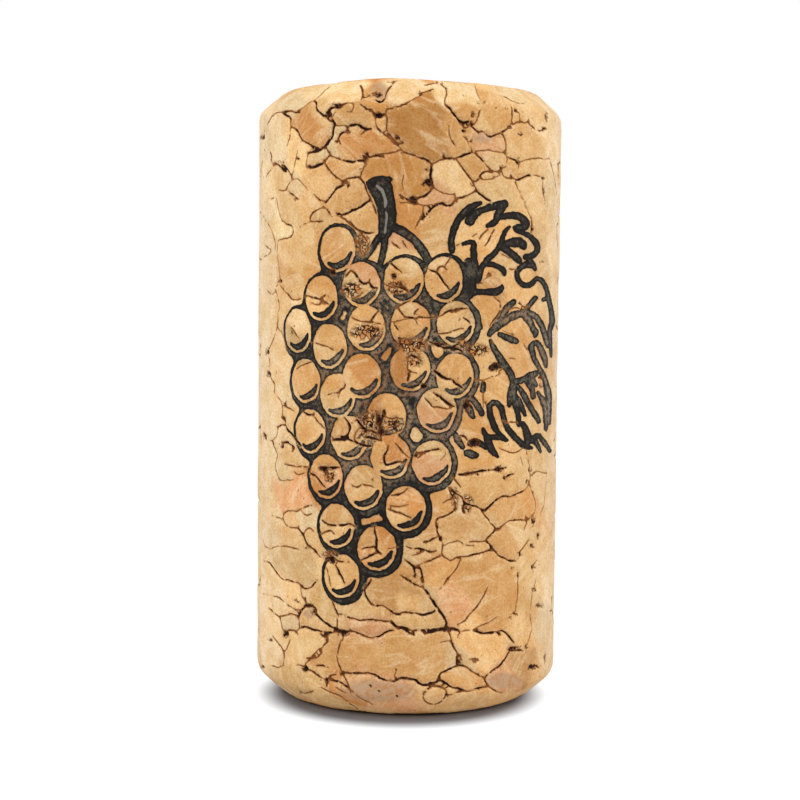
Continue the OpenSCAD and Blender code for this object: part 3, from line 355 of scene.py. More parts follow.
# Granules of the front: tone, then the x and y of each point that lies on the granule
FRONT_GRANULES = [
    ("cream", 276, 126, 275, 148), ("orange", 303, 122, 316, 134), ("cream", 335, 92, 352, 92),
    ("cream", 295, 103), ("cream", 312, 88), ("straw", 322, 108), ("tan", 345, 118, 362, 115),
    ("brown", 378, 106), ("cream", 410, 91, 398, 95), ("cream", 339, 130), ("tan", 381, 124),
    ("orange", 350, 146, 372, 143, 388, 149), ("brown", 405, 116, 425, 112, 415, 135, 437, 142),
    ("tan", 458, 135, 460, 147), ("tan", 463, 112), ("cream", 462, 92, 452, 95), ("tan", 494, 115),
    ("straw", 480, 126), ("pink", 488, 143), ("straw", 525, 142, 535, 150), ("straw", 538, 116),
    ("cream", 515, 94), ("cream", 540, 104), ("straw", 518, 117), ("straw", 495, 160), ("tan", 470, 165),
    ("straw", 448, 174, 460, 184), ("brown", 385, 168, 405, 167, 415, 185), ("straw", 486, 176),
    ("tan", 513, 166), ("straw", 507, 173), ("straw", 535, 168), ("straw", 495, 190),
    ("straw", 530, 195, 537, 212), ("cream", 553, 205), ("cream", 552, 145), ("pink", 432, 198, 446, 199),
    ("straw", 465, 202), ("orange", 412, 213, 406, 226), ("tan", 440, 222, 432, 240), ("straw", 313, 159),
    ("cream", 327, 152), ("tan", 338, 168, 350, 169), ("straw", 295, 140, 300, 160), ("cream", 268, 140),
    ("straw", 315, 180, 305, 200, 310, 192), ("tan", 352, 190, 336, 204), ("tan", 360, 218),
    ("straw", 320, 216), ("cream", 296, 190), ("straw", 281, 180), ("straw", 290, 212), ("cream", 268, 185),
    ("cream", 265, 212), ("straw", 303, 238, 292, 256), ("cream", 285, 230), ("cream", 267, 238),
    ("cream", 268, 270, 267, 284), ("tan", 290, 280), ("cream", 267, 320, 262, 340), ("straw", 284, 308),
    ("cream", 283, 350, 276, 362), ("tan", 330, 245), ("tan", 318, 285), ("straw", 314, 309),
    ("cream", 296, 318), ("straw", 292, 340), ("pink", 363, 272), ("straw", 355, 290), ("tan", 330, 332),
    ("straw", 323, 356), ("tan", 362, 312), ("tan", 380, 317), ("straw", 367, 331), ("straw", 361, 245),
    ("orange", 365, 368, 374, 380), ("tan", 305, 374, 303, 388), ("tan", 331, 380), ("straw", 349, 391),
    ("straw", 334, 403), ("straw", 402, 260), ("tan", 402, 277), ("straw", 397, 294), ("pink", 396, 238),
    ("straw", 404, 309), ("tan", 410, 327), ("orange", 397, 355, 393, 375), ("straw", 414, 364),
    ("tan", 433, 285), ("tan", 457, 275), ("straw", 440, 261), ("straw", 452, 322), ("orange", 424, 308),
    ("straw", 458, 303), ("straw", 449, 340), ("tan", 455, 368), ("straw", 470, 228, 463, 236),
    ("tan", 484, 256), ("straw", 493, 240), ("straw", 500, 261), ("tan", 492, 284),
    ("straw", 515, 285, 530, 300), ("tan", 491, 310), ("tan", 505, 322), ("tan", 520, 350, 515, 368),
    ("straw", 482, 363), ("straw", 540, 235, 546, 275), ("cream", 553, 250, 554, 300), ("straw", 538, 312),
    ("cream", 266, 395), ("cream", 276, 408), ("cream", 289, 394), ("cream", 266, 424), ("cream", 279, 434),
    ("straw", 291, 414), ("cream", 267, 456), ("straw", 285, 455, 300, 457), ("cream", 284, 473),
    ("pink", 290, 492, 300, 484, 282, 500), ("cream", 265, 490), ("tan", 306, 432), ("straw", 319, 418),
    ("tan", 340, 430), ("straw", 352, 430), ("straw", 343, 447), ("tan", 328, 459), ("pink", 333, 475),
    ("orange", 313, 485), ("tan", 362, 475), ("straw", 362, 493), ("tan", 396, 410), ("orange", 371, 408),
    ("tan", 379, 455), ("orange", 392, 455), ("straw", 391, 470), ("tan", 335, 513), ("straw", 337, 535),
    ("orange", 405, 504, 395, 500), ("tan", 397, 488), ("straw", 397, 516), ("straw", 289, 520),
    ("cream", 306, 518), ("cream", 272, 508), ("pink", 432, 418, 440, 424), ("straw", 442, 394),
    ("straw", 430, 444), ("pink", 430, 465), ("tan", 495, 390, 502, 372), ("tan", 475, 424),
    ("straw", 496, 352), ("tan", 480, 459, 467, 463), ("straw", 508, 462), ("straw", 516, 442),
    ("tan", 485, 487, 505, 484, 478, 500), ("straw", 522, 470), ("straw", 539, 455), ("tan", 510, 508),
    ("tan", 533, 508), ("straw", 541, 490), ("straw", 465, 528, 480, 522), ("tan", 443, 507),
    ("cream", 459, 502), ("straw", 457, 488), ("tan", 418, 532), ("cream", 272, 535), ("straw", 288, 538),
    ("straw", 311, 538), ("straw", 300, 565, 286, 560), ("cream", 268, 580, 278, 590), ("straw", 292, 597),
    ("cream", 289, 622), ("cream", 265, 612, 264, 640), ("straw", 318, 600, 326, 615), ("straw", 309, 621),
    ("straw", 355, 608), ("pink", 365, 628), ("straw", 308, 645, 295, 656), ("cream", 272, 653),
    ("tan", 328, 656), ("tan", 400, 655, 370, 652, 432, 652), ("straw", 300, 682, 280, 674),
    ("straw", 330, 702), ("pink", 378, 690, 398, 698), ("tan", 408, 590, 385, 590), ("orange", 337, 685),
    ("straw", 313, 684), ("tan", 346, 572), ("straw", 333, 578), ("orange", 388, 537), ("tan", 365, 540),
    ("orange", 367, 553), ("tan", 388, 556), ("tan", 480, 590, 470, 572, 500, 575, 500, 605),
    ("tan", 438, 575), ("pink", 450, 602, 462, 612), ("straw", 462, 550, 448, 551), ("tan", 507, 545),
    ("straw", 520, 530), ("straw", 414, 557), ("straw", 420, 622), ("straw", 432, 606),
    ("straw", 480, 648, 470, 645), ("tan", 458, 680, 470, 681), ("straw", 435, 697), ("pink", 507, 682),
    ("tan", 525, 665), ("straw", 470, 700), ("straw", 500, 700), ("straw", 528, 600), ("straw", 525, 575),
    ("straw", 543, 560), ("cream", 547, 620), ("straw", 523, 632), ("cream", 547, 585), ("straw", 540, 675),
    ("tan", 425, 557), ("straw", 410, 600), ("cream", 460, 660), ("straw", 425, 545),
]

# --- the print --------------------------------------------------------------------------------

PRINT_FOOT = 8.3
# Middles of the grapes, from the stalk to the tip: (round the side, height over the tip), in mm
GRAPES = [
    (-5.2, 24.5), (-3.4, 22.1), (-0.4, 22.4), (2.4, 22.5), (-6.5, 21.1), (-8.7, 18.8), (-5.8, 17.8),
    (-3.0, 19.1), (0.1, 19.4), (3.3, 19.5), (-7.9, 15.3), (-5.1, 14.4), (-3.3, 15.8), (0.1, 16.4),
    (3.3, 15.9), (-7.4, 11.8), (-4.2, 11.5), (-1.5, 13.1), (2.0, 13.5), (-6.0, 8.7), (-3.1, 8.1),
    (-1.2, 10.3), (1.7, 9.9), (-5.1, 5.3), (-0.1, 6.7), (-2.1, 3.9), (-4.7, 1.8),
]
# Lines of the stalk, each the x, y and width of one point after another, in points of the camera's frame
STALK = [
    (368, 183, 5, 372, 180, 6, 380, 179, 6, 389, 179, 6), (369, 185, 6, 374, 191, 9, 379, 198, 9),
    (382, 189, 21, 385, 200, 21, 387, 212, 19, 387, 222, 17, 385, 232, 14),
    (380, 235, 6, 376, 241, 7, 372, 248, 7, 368, 254, 6, 364, 258, 5),
    (386, 235, 7, 384, 244, 8, 383, 252, 7, 381, 260, 7, 380, 266, 6),
    (391, 226, 9, 400, 230, 9, 408, 235, 9, 415, 241, 9, 421, 248, 9, 426, 256, 9, 430, 264, 8),
]
# Pale streaks in the stalk's ink, in the same way
STALK_GLEAM = [
    (377, 186, 2, 382, 190, 3, 384, 195, 2, 386, 202, 3, 385, 207, 1.5),
    (386, 212, 1, 387, 216, 2, 386, 224, 1, 385, 232, 2),
]
# Where the ink is soaked dark, and where it is worn thin: (x, y, half width, half height), in the same points
SOLID_INK = [
    (382, 205, 26, 40), (345, 572, 26, 40), (385, 548, 26, 34), (338, 522, 26, 30), (408, 512, 30, 26),
    (312, 300, 22, 70), (310, 440, 18, 45), (325, 480, 14, 30), (500, 232, 50, 40), (455, 232, 12, 30),
    (500, 288, 40, 14), (508, 432, 34, 26),
]
WORN_INK = [
    (340, 380, 34, 62), (385, 345, 52, 52), (425, 395, 46, 58), (345, 440, 32, 30), (395, 445, 56, 30),
    (375, 300, 24, 24), (520, 318, 18, 12), (545, 400, 12, 60),
]
# Lines of the leaf, in the same way
LEAF = [
    (452, 250, 7, 451, 241, 7, 454, 229, 7, 459, 219, 7, 466, 211, 8, 473, 206, 7, 480, 203, 4),
    (470, 221, 10, 474, 215, 9, 480, 211, 7, 487, 208, 7, 495, 206, 7, 505, 204, 9),
    (503, 206, 8, 499, 213, 8, 497, 220, 7, 493, 224, 7, 488, 226, 4),
    (499, 219, 4, 505, 216, 6, 513, 215, 7, 520, 217, 7, 526, 221, 9, 526, 227, 8, 519, 227, 7, 515, 228, 4),
    (516, 230, 4, 523, 233, 5, 530, 236, 6, 536, 242, 6, 538, 249, 6, 534, 255, 6, 527, 257, 6),
    (528, 258, 5, 532, 263, 7, 535, 269, 4),
    (533, 266, 5, 526, 265, 7, 520, 268, 6, 517, 274, 5, 519, 281, 6, 525, 286, 6, 532, 284, 6, 535, 280, 5,
        539, 278, 5, 543, 282, 5, 547, 289, 5, 549, 297, 5),
    (549, 297, 5, 552, 311, 5, 553, 322, 6, 550, 331, 5, 551, 342, 4, 552, 356, 3),
    (549, 298, 5, 544, 300, 4),
    (478, 280, 7, 482, 268, 6, 488, 259, 6, 496, 252, 6, 501, 245, 6, 503, 236, 5, 506, 230, 5, 510, 227, 3),
    (503, 247, 8, 510, 243, 9, 517, 242, 11, 523, 244, 9, 524, 247, 6),
    (504, 248, 7, 510, 252, 7, 515, 256, 8, 520, 260, 7),
    (485, 264, 5, 493, 265, 6, 499, 267, 5, 504, 270, 6, 505, 274, 4),
    (475, 292, 7, 483, 292, 6, 490, 292, 7, 497, 292, 8, 502, 289, 7, 502, 286, 3),
    (463, 244, 4, 469, 242, 5, 474, 242, 5, 474, 250, 6, 474, 258, 7, 475, 267, 9, 476, 275, 10),
    (469, 262, 9, 470, 272, 11, 470, 282, 14, 470, 291, 12, 467, 298, 8),
    (470, 303, 5, 474, 309, 6, 478, 317, 7, 480, 327, 6),
    (490, 334, 6, 496, 326, 7, 501, 318, 6, 505, 311, 7, 510, 305, 8, 514, 302, 6),
    (497, 328, 7, 504, 322, 8, 511, 317, 8, 518, 314, 8, 526, 313, 7),
    (524, 313, 4, 530, 305, 5, 536, 298, 5),
    (524, 313, 8, 530, 321, 8, 533, 328, 6, 536, 332, 7, 535, 336, 4),
    (529, 312, 6, 537, 317, 6, 542, 325, 6, 545, 334, 6, 547, 341, 7, 549, 346, 4),
    (533, 352, 5, 531, 346, 6, 536, 342, 6, 540, 346, 6, 543, 353, 7, 546, 361, 6, 547, 367, 3),
    (532, 348, 6, 534, 357, 5, 538, 365, 5, 543, 373, 6, 547, 383, 6, 549, 396, 7, 549, 410, 6, 549, 423, 5),
    (539, 393, 4, 543, 399, 6, 546, 407, 6, 547, 418, 7, 546, 429, 4),
    (491, 341, 4, 494, 348, 6, 498, 355, 6, 502, 361, 7, 507, 367, 7, 511, 374, 7, 514, 382, 8, 513, 390, 9,
        511, 398, 8, 509, 405, 5), (491, 368, 4, 495, 366, 7, 501, 365, 6),
    (500, 335, 5, 507, 337, 7, 513, 340, 8, 516, 341, 6),
    (516, 382, 6, 525, 379, 6, 532, 376, 8, 537, 373, 5), (529, 381, 8, 533, 390, 6, 534, 397, 5),
    (532, 380, 8, 537, 385, 4), (518, 386, 5, 525, 396, 6, 530, 405, 6, 535, 414, 6, 539, 421, 5),
    (512, 393, 9, 515, 401, 9, 517, 410, 6, 519, 419, 5, 519, 425, 4),
    (518, 400, 8, 523, 409, 6, 525, 415, 4),
    (489, 409, 5, 490, 404, 6, 496, 402, 6, 501, 407, 6, 503, 415, 6, 505, 422, 6, 509, 430, 6, 515, 437, 6,
        521, 443, 6, 527, 447, 6, 532, 448, 3),
    (489, 406, 6, 490, 414, 6, 493, 422, 6, 495, 429, 6, 500, 434, 5, 506, 440, 4),
    (483, 429, 4, 485, 434, 6, 489, 438, 6, 495, 437, 6, 501, 438, 5, 507, 440, 3),
    (487, 438, 7, 489, 445, 8, 493, 451, 8, 498, 457, 3),
    (523, 424, 5, 527, 432, 8, 529, 439, 9, 527, 445, 6),
    (531, 441, 6, 535, 437, 6, 539, 435, 5, 543, 440, 5, 547, 446, 5, 550, 451, 3),
    (535, 441, 6, 539, 447, 5, 541, 451, 3), (467, 404, 5, 470, 410, 8, 473, 417, 5),
    (473, 400, 7, 478, 406, 7, 482, 413, 6), (463, 402, 6, 470, 398, 7),
    (471, 444, 7, 476, 442, 9, 482, 444, 6, 486, 448, 4), (467, 453, 7, 473, 455, 9, 476, 455, 6),
    (456, 435, 6, 459, 441, 8, 463, 447, 5), (484, 383, 5, 483, 391, 5),
]
# How far in mm the ink has spread beyond the lines as drawn
INK_SPREAD = 0.035
# How tightly neighbouring rings run together, and the angles at which a grape's shade starts and ends
RING_JOIN = 4.5
SHADE_START, SHADE_END = -118, -10
# By how many degrees a grape's shade starts earlier or later
SHADE_LONGER = (-6, 14)
# Arc and height limits of the print, in mm
PRINT_SIDE, PRINT_TOP = 15.0, 38.6
# How far the ink's lines waver, in mm, and over how many mm
WAVERS = ((0.07, 0.8), (0.04, 0.3))
# A distance in mm that no line or seam reaches, and a length too short to matter
FAR, TINY = 9.0, 1e-9


def ellipse_distance(arc, height, middle, half_w, half_h):
    """Distance to an ellipse in mm: less than 0 inside it."""
    x, y = (arc - middle[0]) / half_w, (height - middle[1]) / half_h
    size = np.hypot(x, y) + TINY
    return size * (size - 1) / (np.hypot(x / half_w, y / half_h) + TINY)


def line_distance(arc, height, line, room=1.0):
    """Distance to the edge of a line of changing width: less than 0 inside it."""
    whole = np.full(arc.shape, FAR * room)
    low, high = np.min(line, axis=0), np.max(line, axis=0)
    room += high[2] / 2
    here = (arc > low[0] - room) & (arc < high[0] + room)
    here &= (height > low[1] - room) & (height < high[1] + room)
    arc, height = arc[here], height[here]
    nearest = whole[here]
    for (x0, y0, w0), (x1, y1, w1) in zip(line, line[1:]):
        dx, dy = x1 - x0, y1 - y0
        t = np.clip(((arc - x0) * dx + (height - y0) * dy) / (dx * dx + dy * dy), 0, 1)
        edge = np.hypot(arc - x0 - t * dx, height - y0 - t * dy) - (w0 + (w1 - w0) * t) / 2
        nearest = np.minimum(nearest, edge)
    whole[here] = nearest
    return whole


def drawn_distance(x, y, lines):
    """Distance in mm to lines drawn in the camera's frame: less than 0 inside them."""
    nearest = np.full(x.shape, FAR)
    for line in lines:
        line = rounded(rounded(np.reshape(line, (-1, 3))))
        edge = line_distance(x, y, line, POINTS_PER_MM) / POINTS_PER_MM
        nearest = np.minimum(nearest, edge - INK_SPREAD)
    return nearest


def shade_line(middle, sizes, longer, steps=7):
    """The shade in a grape: a line that swells along its lower right, inside the ring."""
    line = []
    for i in range(steps):
        share = i / (steps - 1)
        turn = math.radians(SHADE_START - longer + (SHADE_END - SHADE_START + longer) * share)
        width = sizes.shade_w * (0.5 + 0.5 * math.sin(math.pi * share))
        inset = sizes.shade_gap + width / 2
        line.append((
            middle[0] + (sizes.grape_w / 2 - inset) * math.cos(turn),
            middle[1] + (sizes.grape_h / 2 - inset) * math.sin(turn),
            width,
        ))
    return line


def ink_inside(arc, height, sizes):
    """How far inside the ink each point of the side is, in mm: less than 0 outside it."""
    straight = np.c_[arc, height, 0 * arc]
    for (amount, scale), across, upward in zip(WAVERS, (3.0, 5.0), (23.0, 29.0)):
        arc = arc + amount * smooth_noise(straight, scale, across)
        height = height + amount * smooth_noise(straight, scale, upward)
    turn = arc / CORK_R
    x, y = seen_at(np.c_[CORK_R * np.sin(turn), -CORK_R * np.cos(turn), height])
    height = height - PRINT_FOOT
    crowd = np.full(arc.shape, TINY)
    opening = np.full(arc.shape, FAR)
    half_w, half_h = sizes.grape_w / 2, sizes.grape_h / 2
    for middle in GRAPES:
        leaning = (middle[0] + sizes.ring_lean, middle[1] - sizes.ring_lean)
        outer = ellipse_distance(arc, height, leaning, half_w + sizes.ring_w, half_h + sizes.ring_w)
        crowd += np.exp(-outer * RING_JOIN)
        opening = np.minimum(opening, ellipse_distance(arc, height, middle, half_w, half_h))
    shape = np.minimum(-np.log(crowd) / RING_JOIN, drawn_distance(x, y, STALK))
    shape = np.maximum(shape, -opening)
    draw = seeded(SHADE_SEED)
    for middle in GRAPES:
        shade = shade_line(middle, sizes, draw.uniform(*SHADE_LONGER))
        shape = np.minimum(shape, line_distance(arc, height, shade))
    return -np.minimum(shape, drawn_distance(x, y, LEAF))


# --- looks of the granules --------------------------------------------------------------------

# Colours of cork, and how streaky each is
TONES = {
    "cream": ((0.80, 0.61, 0.36), 0.25),
    "straw": ((0.74, 0.50, 0.245), 0.3),
    "tan": ((0.68, 0.405, 0.17), 0.4),
    "orange": ((0.64, 0.315, 0.11), 0.6),
    "pink": ((0.71, 0.405, 0.21), 0.4),
    "brown": ((0.56, 0.295, 0.10), 1.0),
}
SCATTERED_TONES = ["cream", "cream", "straw", "straw", "straw", "tan", "tan", "pink", "orange"]


# Seeds of the random draws: wavering borders, relief, colours and the grapes' shades. Without a seed of
# its own, the vector noise behind the borders would differ from run to run.
WOBBLE_SEED, RELIEF_SEED, COLOR_SEED, SHADE_SEED = 1, 7, 11, 21


def seeded(number):
    return np.random.default_rng(number)


def wobble(points, scale, amount, shift=0.0):
    """Points moved by a smooth noise, so that straight borders come out uneven."""
    noise.seed_set(WOBBLE_SEED)
    moved = np.empty_like(points)
    for i, (x, y, z) in enumerate(points):
        moved[i] = noise.noise_vector(Vector((x / scale + shift, y / scale, z / scale)))
    return points + moved * amount


def smooth_noise(points, scale, shift=0.0):
    return np.array([noise.noise(Vector((x / scale + shift, y / scale, z / scale))) for x, y, z in points])


def smoothstep(x):
    x = np.clip(x, 0, 1)
    return x * x * (3 - 2 * x)


# --- the camera's frame -----------------------------------------------------------------------


def camera_turn():
    pitch, roll = math.radians(CAMERA_PITCH), math.radians(CAMERA_ROLL)
    return Matrix.Rotation(math.pi / 2 - pitch, 3, "X") @ Matrix.Rotation(roll, 3, "Z")


def seen_at(places):
    """Where places on the cork, in mm, lie in the camera's frame."""
    local = (places - np.array(CAMERA_PLACE)) @ np.array(camera_turn())
    x = FRAME_SIDE / 2 + ZOOM * local[:, 0] / -local[:, 2]
    y = FRAME_SIDE / 2 - ZOOM * local[:, 1] / -local[:, 2]
    return x, y


def facing_camera(places, normal):
    sight = np.array(CAMERA_PLACE) - places
    return (sight * normal).sum(1) > 0


class Skin:
    """The smooth cork, on which points of the camera's frame are laid."""

    def __init__(self, bm):
        self.tree = BVHTree.FromBMesh(bm)

    def hit(self, x, y):
        """The place in mm and the face that the camera sees at a point of its frame, or None twice."""
        way = Vector(((x - FRAME_SIDE / 2) / ZOOM, (FRAME_SIDE / 2 - y) / ZOOM, -1))
        place, _, face, _ = self.tree.ray_cast(Vector(CAMERA_PLACE), (camera_turn() @ way).normalized())
        return place, face


# --- seams ------------------------------------------------------------------------------------

CORNER_CUT = 1.5


def rounded(line):
    """A line with its corners cut once, each by a quarter of its sides and by CORNER_CUT at most."""
    line = np.array(line, float)
    if len(line) < 3:
        return line
    sides = np.diff(line, axis=0)
    cut = sides * np.minimum(0.25, CORNER_CUT / np.linalg.norm(sides[:, :2], axis=1))[:, None]
    between = np.stack((line[:-1] + cut, line[1:] - cut), 1).reshape(-1, line.shape[1])
    return np.r_[line[:1], between[1:-1], line[-1:]]


class FrontSeams:
    """The seams of the front, laid on the cork as rows of close spots."""

    SPOT_STEP = 0.05
    FADE = 0.4

    def __init__(self, skin):
        rows = []
        for gape, *line in FRONT_SEAMS:
            hits = [skin.hit(x, y)[0] for x, y in rounded(np.reshape(line, (-1, 2)))]
            hits = np.array([hit[:] for hit in hits if hit is not None])
            if len(hits) > 1:
                rows.append(self.row(gape, hits))
        self.places, self.ways, self.gapes = (np.concatenate(parts) for parts in zip(*rows))
        self.tree = KDTree(len(self.places))
        for i, place in enumerate(self.places):
            self.tree.insert(place, i)
        self.tree.balance()

    def row(self, gape, hits):
        marks = np.r_[0, np.cumsum(np.linalg.norm(np.diff(hits, axis=0), axis=1))]
        at = np.linspace(0, marks[-1], max(2, round(marks[-1] / self.SPOT_STEP)))
        places = np.stack([np.interp(at, marks, hits[:, i]) for i in range(3)], 1)
        ways = np.gradient(places, axis=0)
        ways /= np.linalg.norm(ways, axis=1)[:, None] + TINY
        to_end = np.minimum(at, marks[-1] - at)
        return places, ways, gape * (0.6 + 0.4 * smoothstep(to_end / self.FADE))

    def at(self, points):
        """Distance to the nearest seam in mm, the direction to it, and how far it gapes."""
        bent = wobble(points, 0.5, 0.07)
        nearest = np.array([self.tree.find(point)[1] for point in bent])
        apart = bent - self.places[nearest]
        way = self.ways[nearest]
        along = np.clip((apart * way).sum(1), -self.SPOT_STEP / 2, self.SPOT_STEP / 2)
        apart -= way * along[:, None]
        away = np.linalg.norm(apart, axis=1)
        return away, -apart / (away[:, None] + 1e-6), self.gapes[nearest]


def scattered_granules(sizes):
    """Round parts of the granules away from the front: places, radii, granule numbers, and their tones."""
    places, radii, owners, tones = [], [], [], []
    draw = seeded(sizes.scatter_seed)
    pitch = sizes.granule_w

    def granule(parts):
        for place, radius in parts:
            places.append(place)
            radii.append(radius)
            owners.append(len(tones))
        tones.append(SCATTERED_TONES[draw.integers(len(SCATTERED_TONES))])

    def on_side(arc, height):
        turn = arc / CORK_R
        return (CORK_R * math.sin(turn), -CORK_R * math.cos(turn), height)

    columns = round(2 * math.pi * CORK_R / pitch)
    rows = round(CORK_L / (pitch * 0.85))
    for row in range(rows + 1):
        for column in range(columns):
            arc = (column + row % 2 / 2 + draw.uniform(-0.42, 0.42)) * 2 * math.pi * CORK_R / columns
            height = (row + draw.uniform(-0.4, 0.4)) * CORK_L / rows
            size = pitch * draw.uniform(0.25, 0.62)
            beside = arc + draw.uniform(-0.5, 0.5) * pitch, height + draw.uniform(-0.3, 0.3) * pitch
            granule([(on_side(arc, height), size), (on_side(*beside), size * 0.8)])
    for level in (0.0, CORK_L):
        for ring in range(4):
            across = ring * CORK_R / 4.3
            count = max(1, round(2 * math.pi * across / (pitch * 0.9)))
            for step in range(count):
                turn = (step + ring / 2 + draw.uniform(-0.3, 0.3)) * 2 * math.pi / count
                away = across + draw.uniform(-0.3, 0.3) * pitch
                place = (away * math.sin(turn), -away * math.cos(turn), level)
                granule([(place, pitch * draw.uniform(0.25, 0.6))])
    return np.array(places), np.array(radii), np.array(owners), tones


class ScatteredSeams:
    """The seams between scattered granules, away from the front."""

    # How many of the nearest parts are compared, and how many points are worked out at a time
    NEAREST = 6
    BATCH = 20000

    def __init__(self, sizes):
        self.places, self.radii, self.owners, self.tones = scattered_granules(sizes)

    def at(self, points):
        """Owner, distance to the border in mm, direction to it, and how far it gapes."""
        bent = wobble(wobble(points, 3.1, 0.75), 0.9, 0.26, 17.0)
        owner = np.empty(len(points), int)
        away = np.empty(len(points))
        toward = np.empty((len(points), 3))
        for start in range(0, len(points), self.BATCH):
            part = bent[start : start + self.BATCH]
            reach = ((part[:, None, :] - self.places[None]) ** 2).sum(2) - self.radii[None] ** 2
            near = np.argpartition(reach, self.NEAREST, axis=1)[:, : self.NEAREST]
            order = np.argsort(np.take_along_axis(reach, near, 1), axis=1)
            near = np.take_along_axis(near, order, 1)
            reach = np.take_along_axis(reach, near, 1)
            first = near[:, 0]
            best = np.full(len(part), FAR)
            way = np.zeros((len(part), 3))
            for k in range(1, self.NEAREST):
                other = near[:, k]
                between = self.places[other] - self.places[first]
                gap = np.linalg.norm(between, axis=1) + TINY
                border = (reach[:, k] - reach[:, 0]) / (2 * gap)
                closer = (self.owners[other] != self.owners[first]) & (border < best)
                best[closer] = border[closer]
                way[closer] = (between / gap[:, None])[closer]
            owner[start : start + len(part)] = self.owners[first]
            away[start : start + len(part)] = best
            toward[start : start + len(part)] = way
        uneven = smooth_noise(points, 2.4, 31.0) + 0.6 * smooth_noise(points, 0.8, 47.0)
        return owner, away, toward, np.clip(0.42 + 0.75 * uneven, 0.08, 0.95)


# --- shape of the cork ------------------------------------------------------------------------


class Profile:
    """Half outline of the cork from the middle of the foot, round the bevels, to the middle of the top."""

    STEP = 0.05

    def __init__(self, sizes):
        rim = CORK_R - sizes.bevel_in
        high = CORK_L - sizes.bevel_up
        self.corners = [(0, 0), (rim, 0), (CORK_R, sizes.bevel_up)]
        self.corners += [(CORK_R, high), (rim, CORK_L), (0, CORK_L)]
        corners = np.array(self.corners, float)
        self.marks = np.r_[0, np.cumsum(np.linalg.norm(np.diff(corners, axis=0), axis=1))]
        self.along = np.linspace(0, self.marks[-1], round(self.marks[-1] / self.STEP))
        line = np.stack([np.interp(self.along, self.marks, corners[:, i]) for i in range(2)], 1)
        for _ in range(round((sizes.edge_r / self.STEP) ** 2 * 0.35)):
            line[1:-1] = (line[:-2] + line[2:]) / 2
        self.line = line
        heading = np.gradient(line, axis=0)
        heading /= np.linalg.norm(heading, axis=1)[:, None]
        self.normal = np.c_[heading[:, 1], -heading[:, 0]]

    def find(self, points):
        """How far along the outline each point of the sharp-edged form lies."""
        across = np.hypot(points[:, 0], points[:, 1])
        height = points[:, 2]
        rim, rim_mark, side_mark = self.corners[1][0], *self.marks[1:3]
        lower = height < CORK_L / 2
        level = np.where(lower, height, CORK_L - height)
        from_end = np.where(level < 1e-4, across, rim_mark + np.hypot(across - rim, level))
        on_wall = across > CORK_R - 1e-4
        from_end = np.where(on_wall, side_mark + level - self.corners[2][1], from_end)
        return np.where(lower, from_end, self.marks[-1] - from_end)

    def places(self, along, turn, out=0.0):
        """Points of the rounded outline, and their outward directions."""
        r = np.interp(along, self.along, self.line[:, 0])
        z = np.interp(along, self.along, self.line[:, 1])
        nr = np.interp(along, self.along, self.normal[:, 0])
        nz = np.interp(along, self.along, self.normal[:, 1])
        normal = np.c_[nr * np.sin(turn), -nr * np.cos(turn), nz]
        return np.c_[r * np.sin(turn), -r * np.cos(turn), z] + normal * np.reshape(out, (-1, 1)), normal

    def on_wall(self, along):
        return (along > self.marks[2] + 1) & (along < self.marks[3] - 1)

    def on_end(self, along):
        """Whether a point lies on one of the flat ends."""
        return (along < self.marks[1]) | (along > self.marks[4])


def square_to_disc(x, y):
    """Bends a square of side 2 into a disc of radius 1, with its edge points evenly round the rim."""
    if abs(x) < TINY and abs(y) < TINY:
        return 0.0, 0.0
    if abs(x) > abs(y):
        radius, turn = x, math.pi / 4 * y / x
    else:
        radius, turn = y, math.pi / 2 - math.pi / 4 * x / y
    return radius * math.cos(turn), radius * math.sin(turn)


def add_end(bm, rim, level, cells):
    """A flat end: a grid bent into a disc."""
    made = bmesh.ops.create_grid(bm, x_segments=cells, y_segments=cells, size=1)["verts"]
    for v in made:
        x, y = square_to_disc(v.co.x, v.co.y)
        v.co = (x * rim, y * rim, level)


def put_in_order(bm):
    """Orders edges and faces by their vertices, because the tools leave them in another order each run."""
    bm.verts.index_update()
    count = len(bm.verts)

    def rank(item):
        total = 0
        for index in sorted(v.index for v in item.verts)[:3]:
            total = total * count + index
        return total

    bm.edges.sort(key=rank)
    bm.faces.sort(key=rank)


def plain_cork(sizes, profile):
    """The smooth cork: the foot, its rim drawn up the outline ring by ring, and the top."""
    bm = bmesh.new()
    rim = profile.corners[1][0]
    add_end(bm, rim, 0.0, sizes.end_cells)
    edges = [e for e in bm.edges if e.is_boundary]
    marks = profile.marks
    rings = round((marks[4] - marks[1]) / sizes.mesh_step)
    for i in range(1, rings + 1):
        along = marks[1] + (marks[4] - marks[1]) * i / rings
        r = np.interp(along, marks, [c[0] for c in profile.corners])
        z = np.interp(along, marks, [c[1] for c in profile.corners])
        made = bmesh.ops.extrude_edge_only(bm, edges=edges)["geom"]
        edges = [g for g in made if isinstance(g, bmesh.types.BMEdge)]
        for v in made:
            if isinstance(v, bmesh.types.BMVert):
                size = r / math.hypot(v.co.x, v.co.y)
                v.co = (v.co.x * size, v.co.y * size, z)
    add_end(bm, rim, CORK_L, sizes.end_cells)
    bmesh.ops.remove_doubles(bm, verts=bm.verts, dist=0.01)
    bmesh.ops.recalc_face_normals(bm, faces=bm.faces)
    put_in_order(bm)
    return bm


FRONT_CROWDING = 0.35


def crowd_front(turn):
    """Draws the columns closer together at the front, where the print is."""
    return turn - FRONT_CROWDING * np.sin(turn)


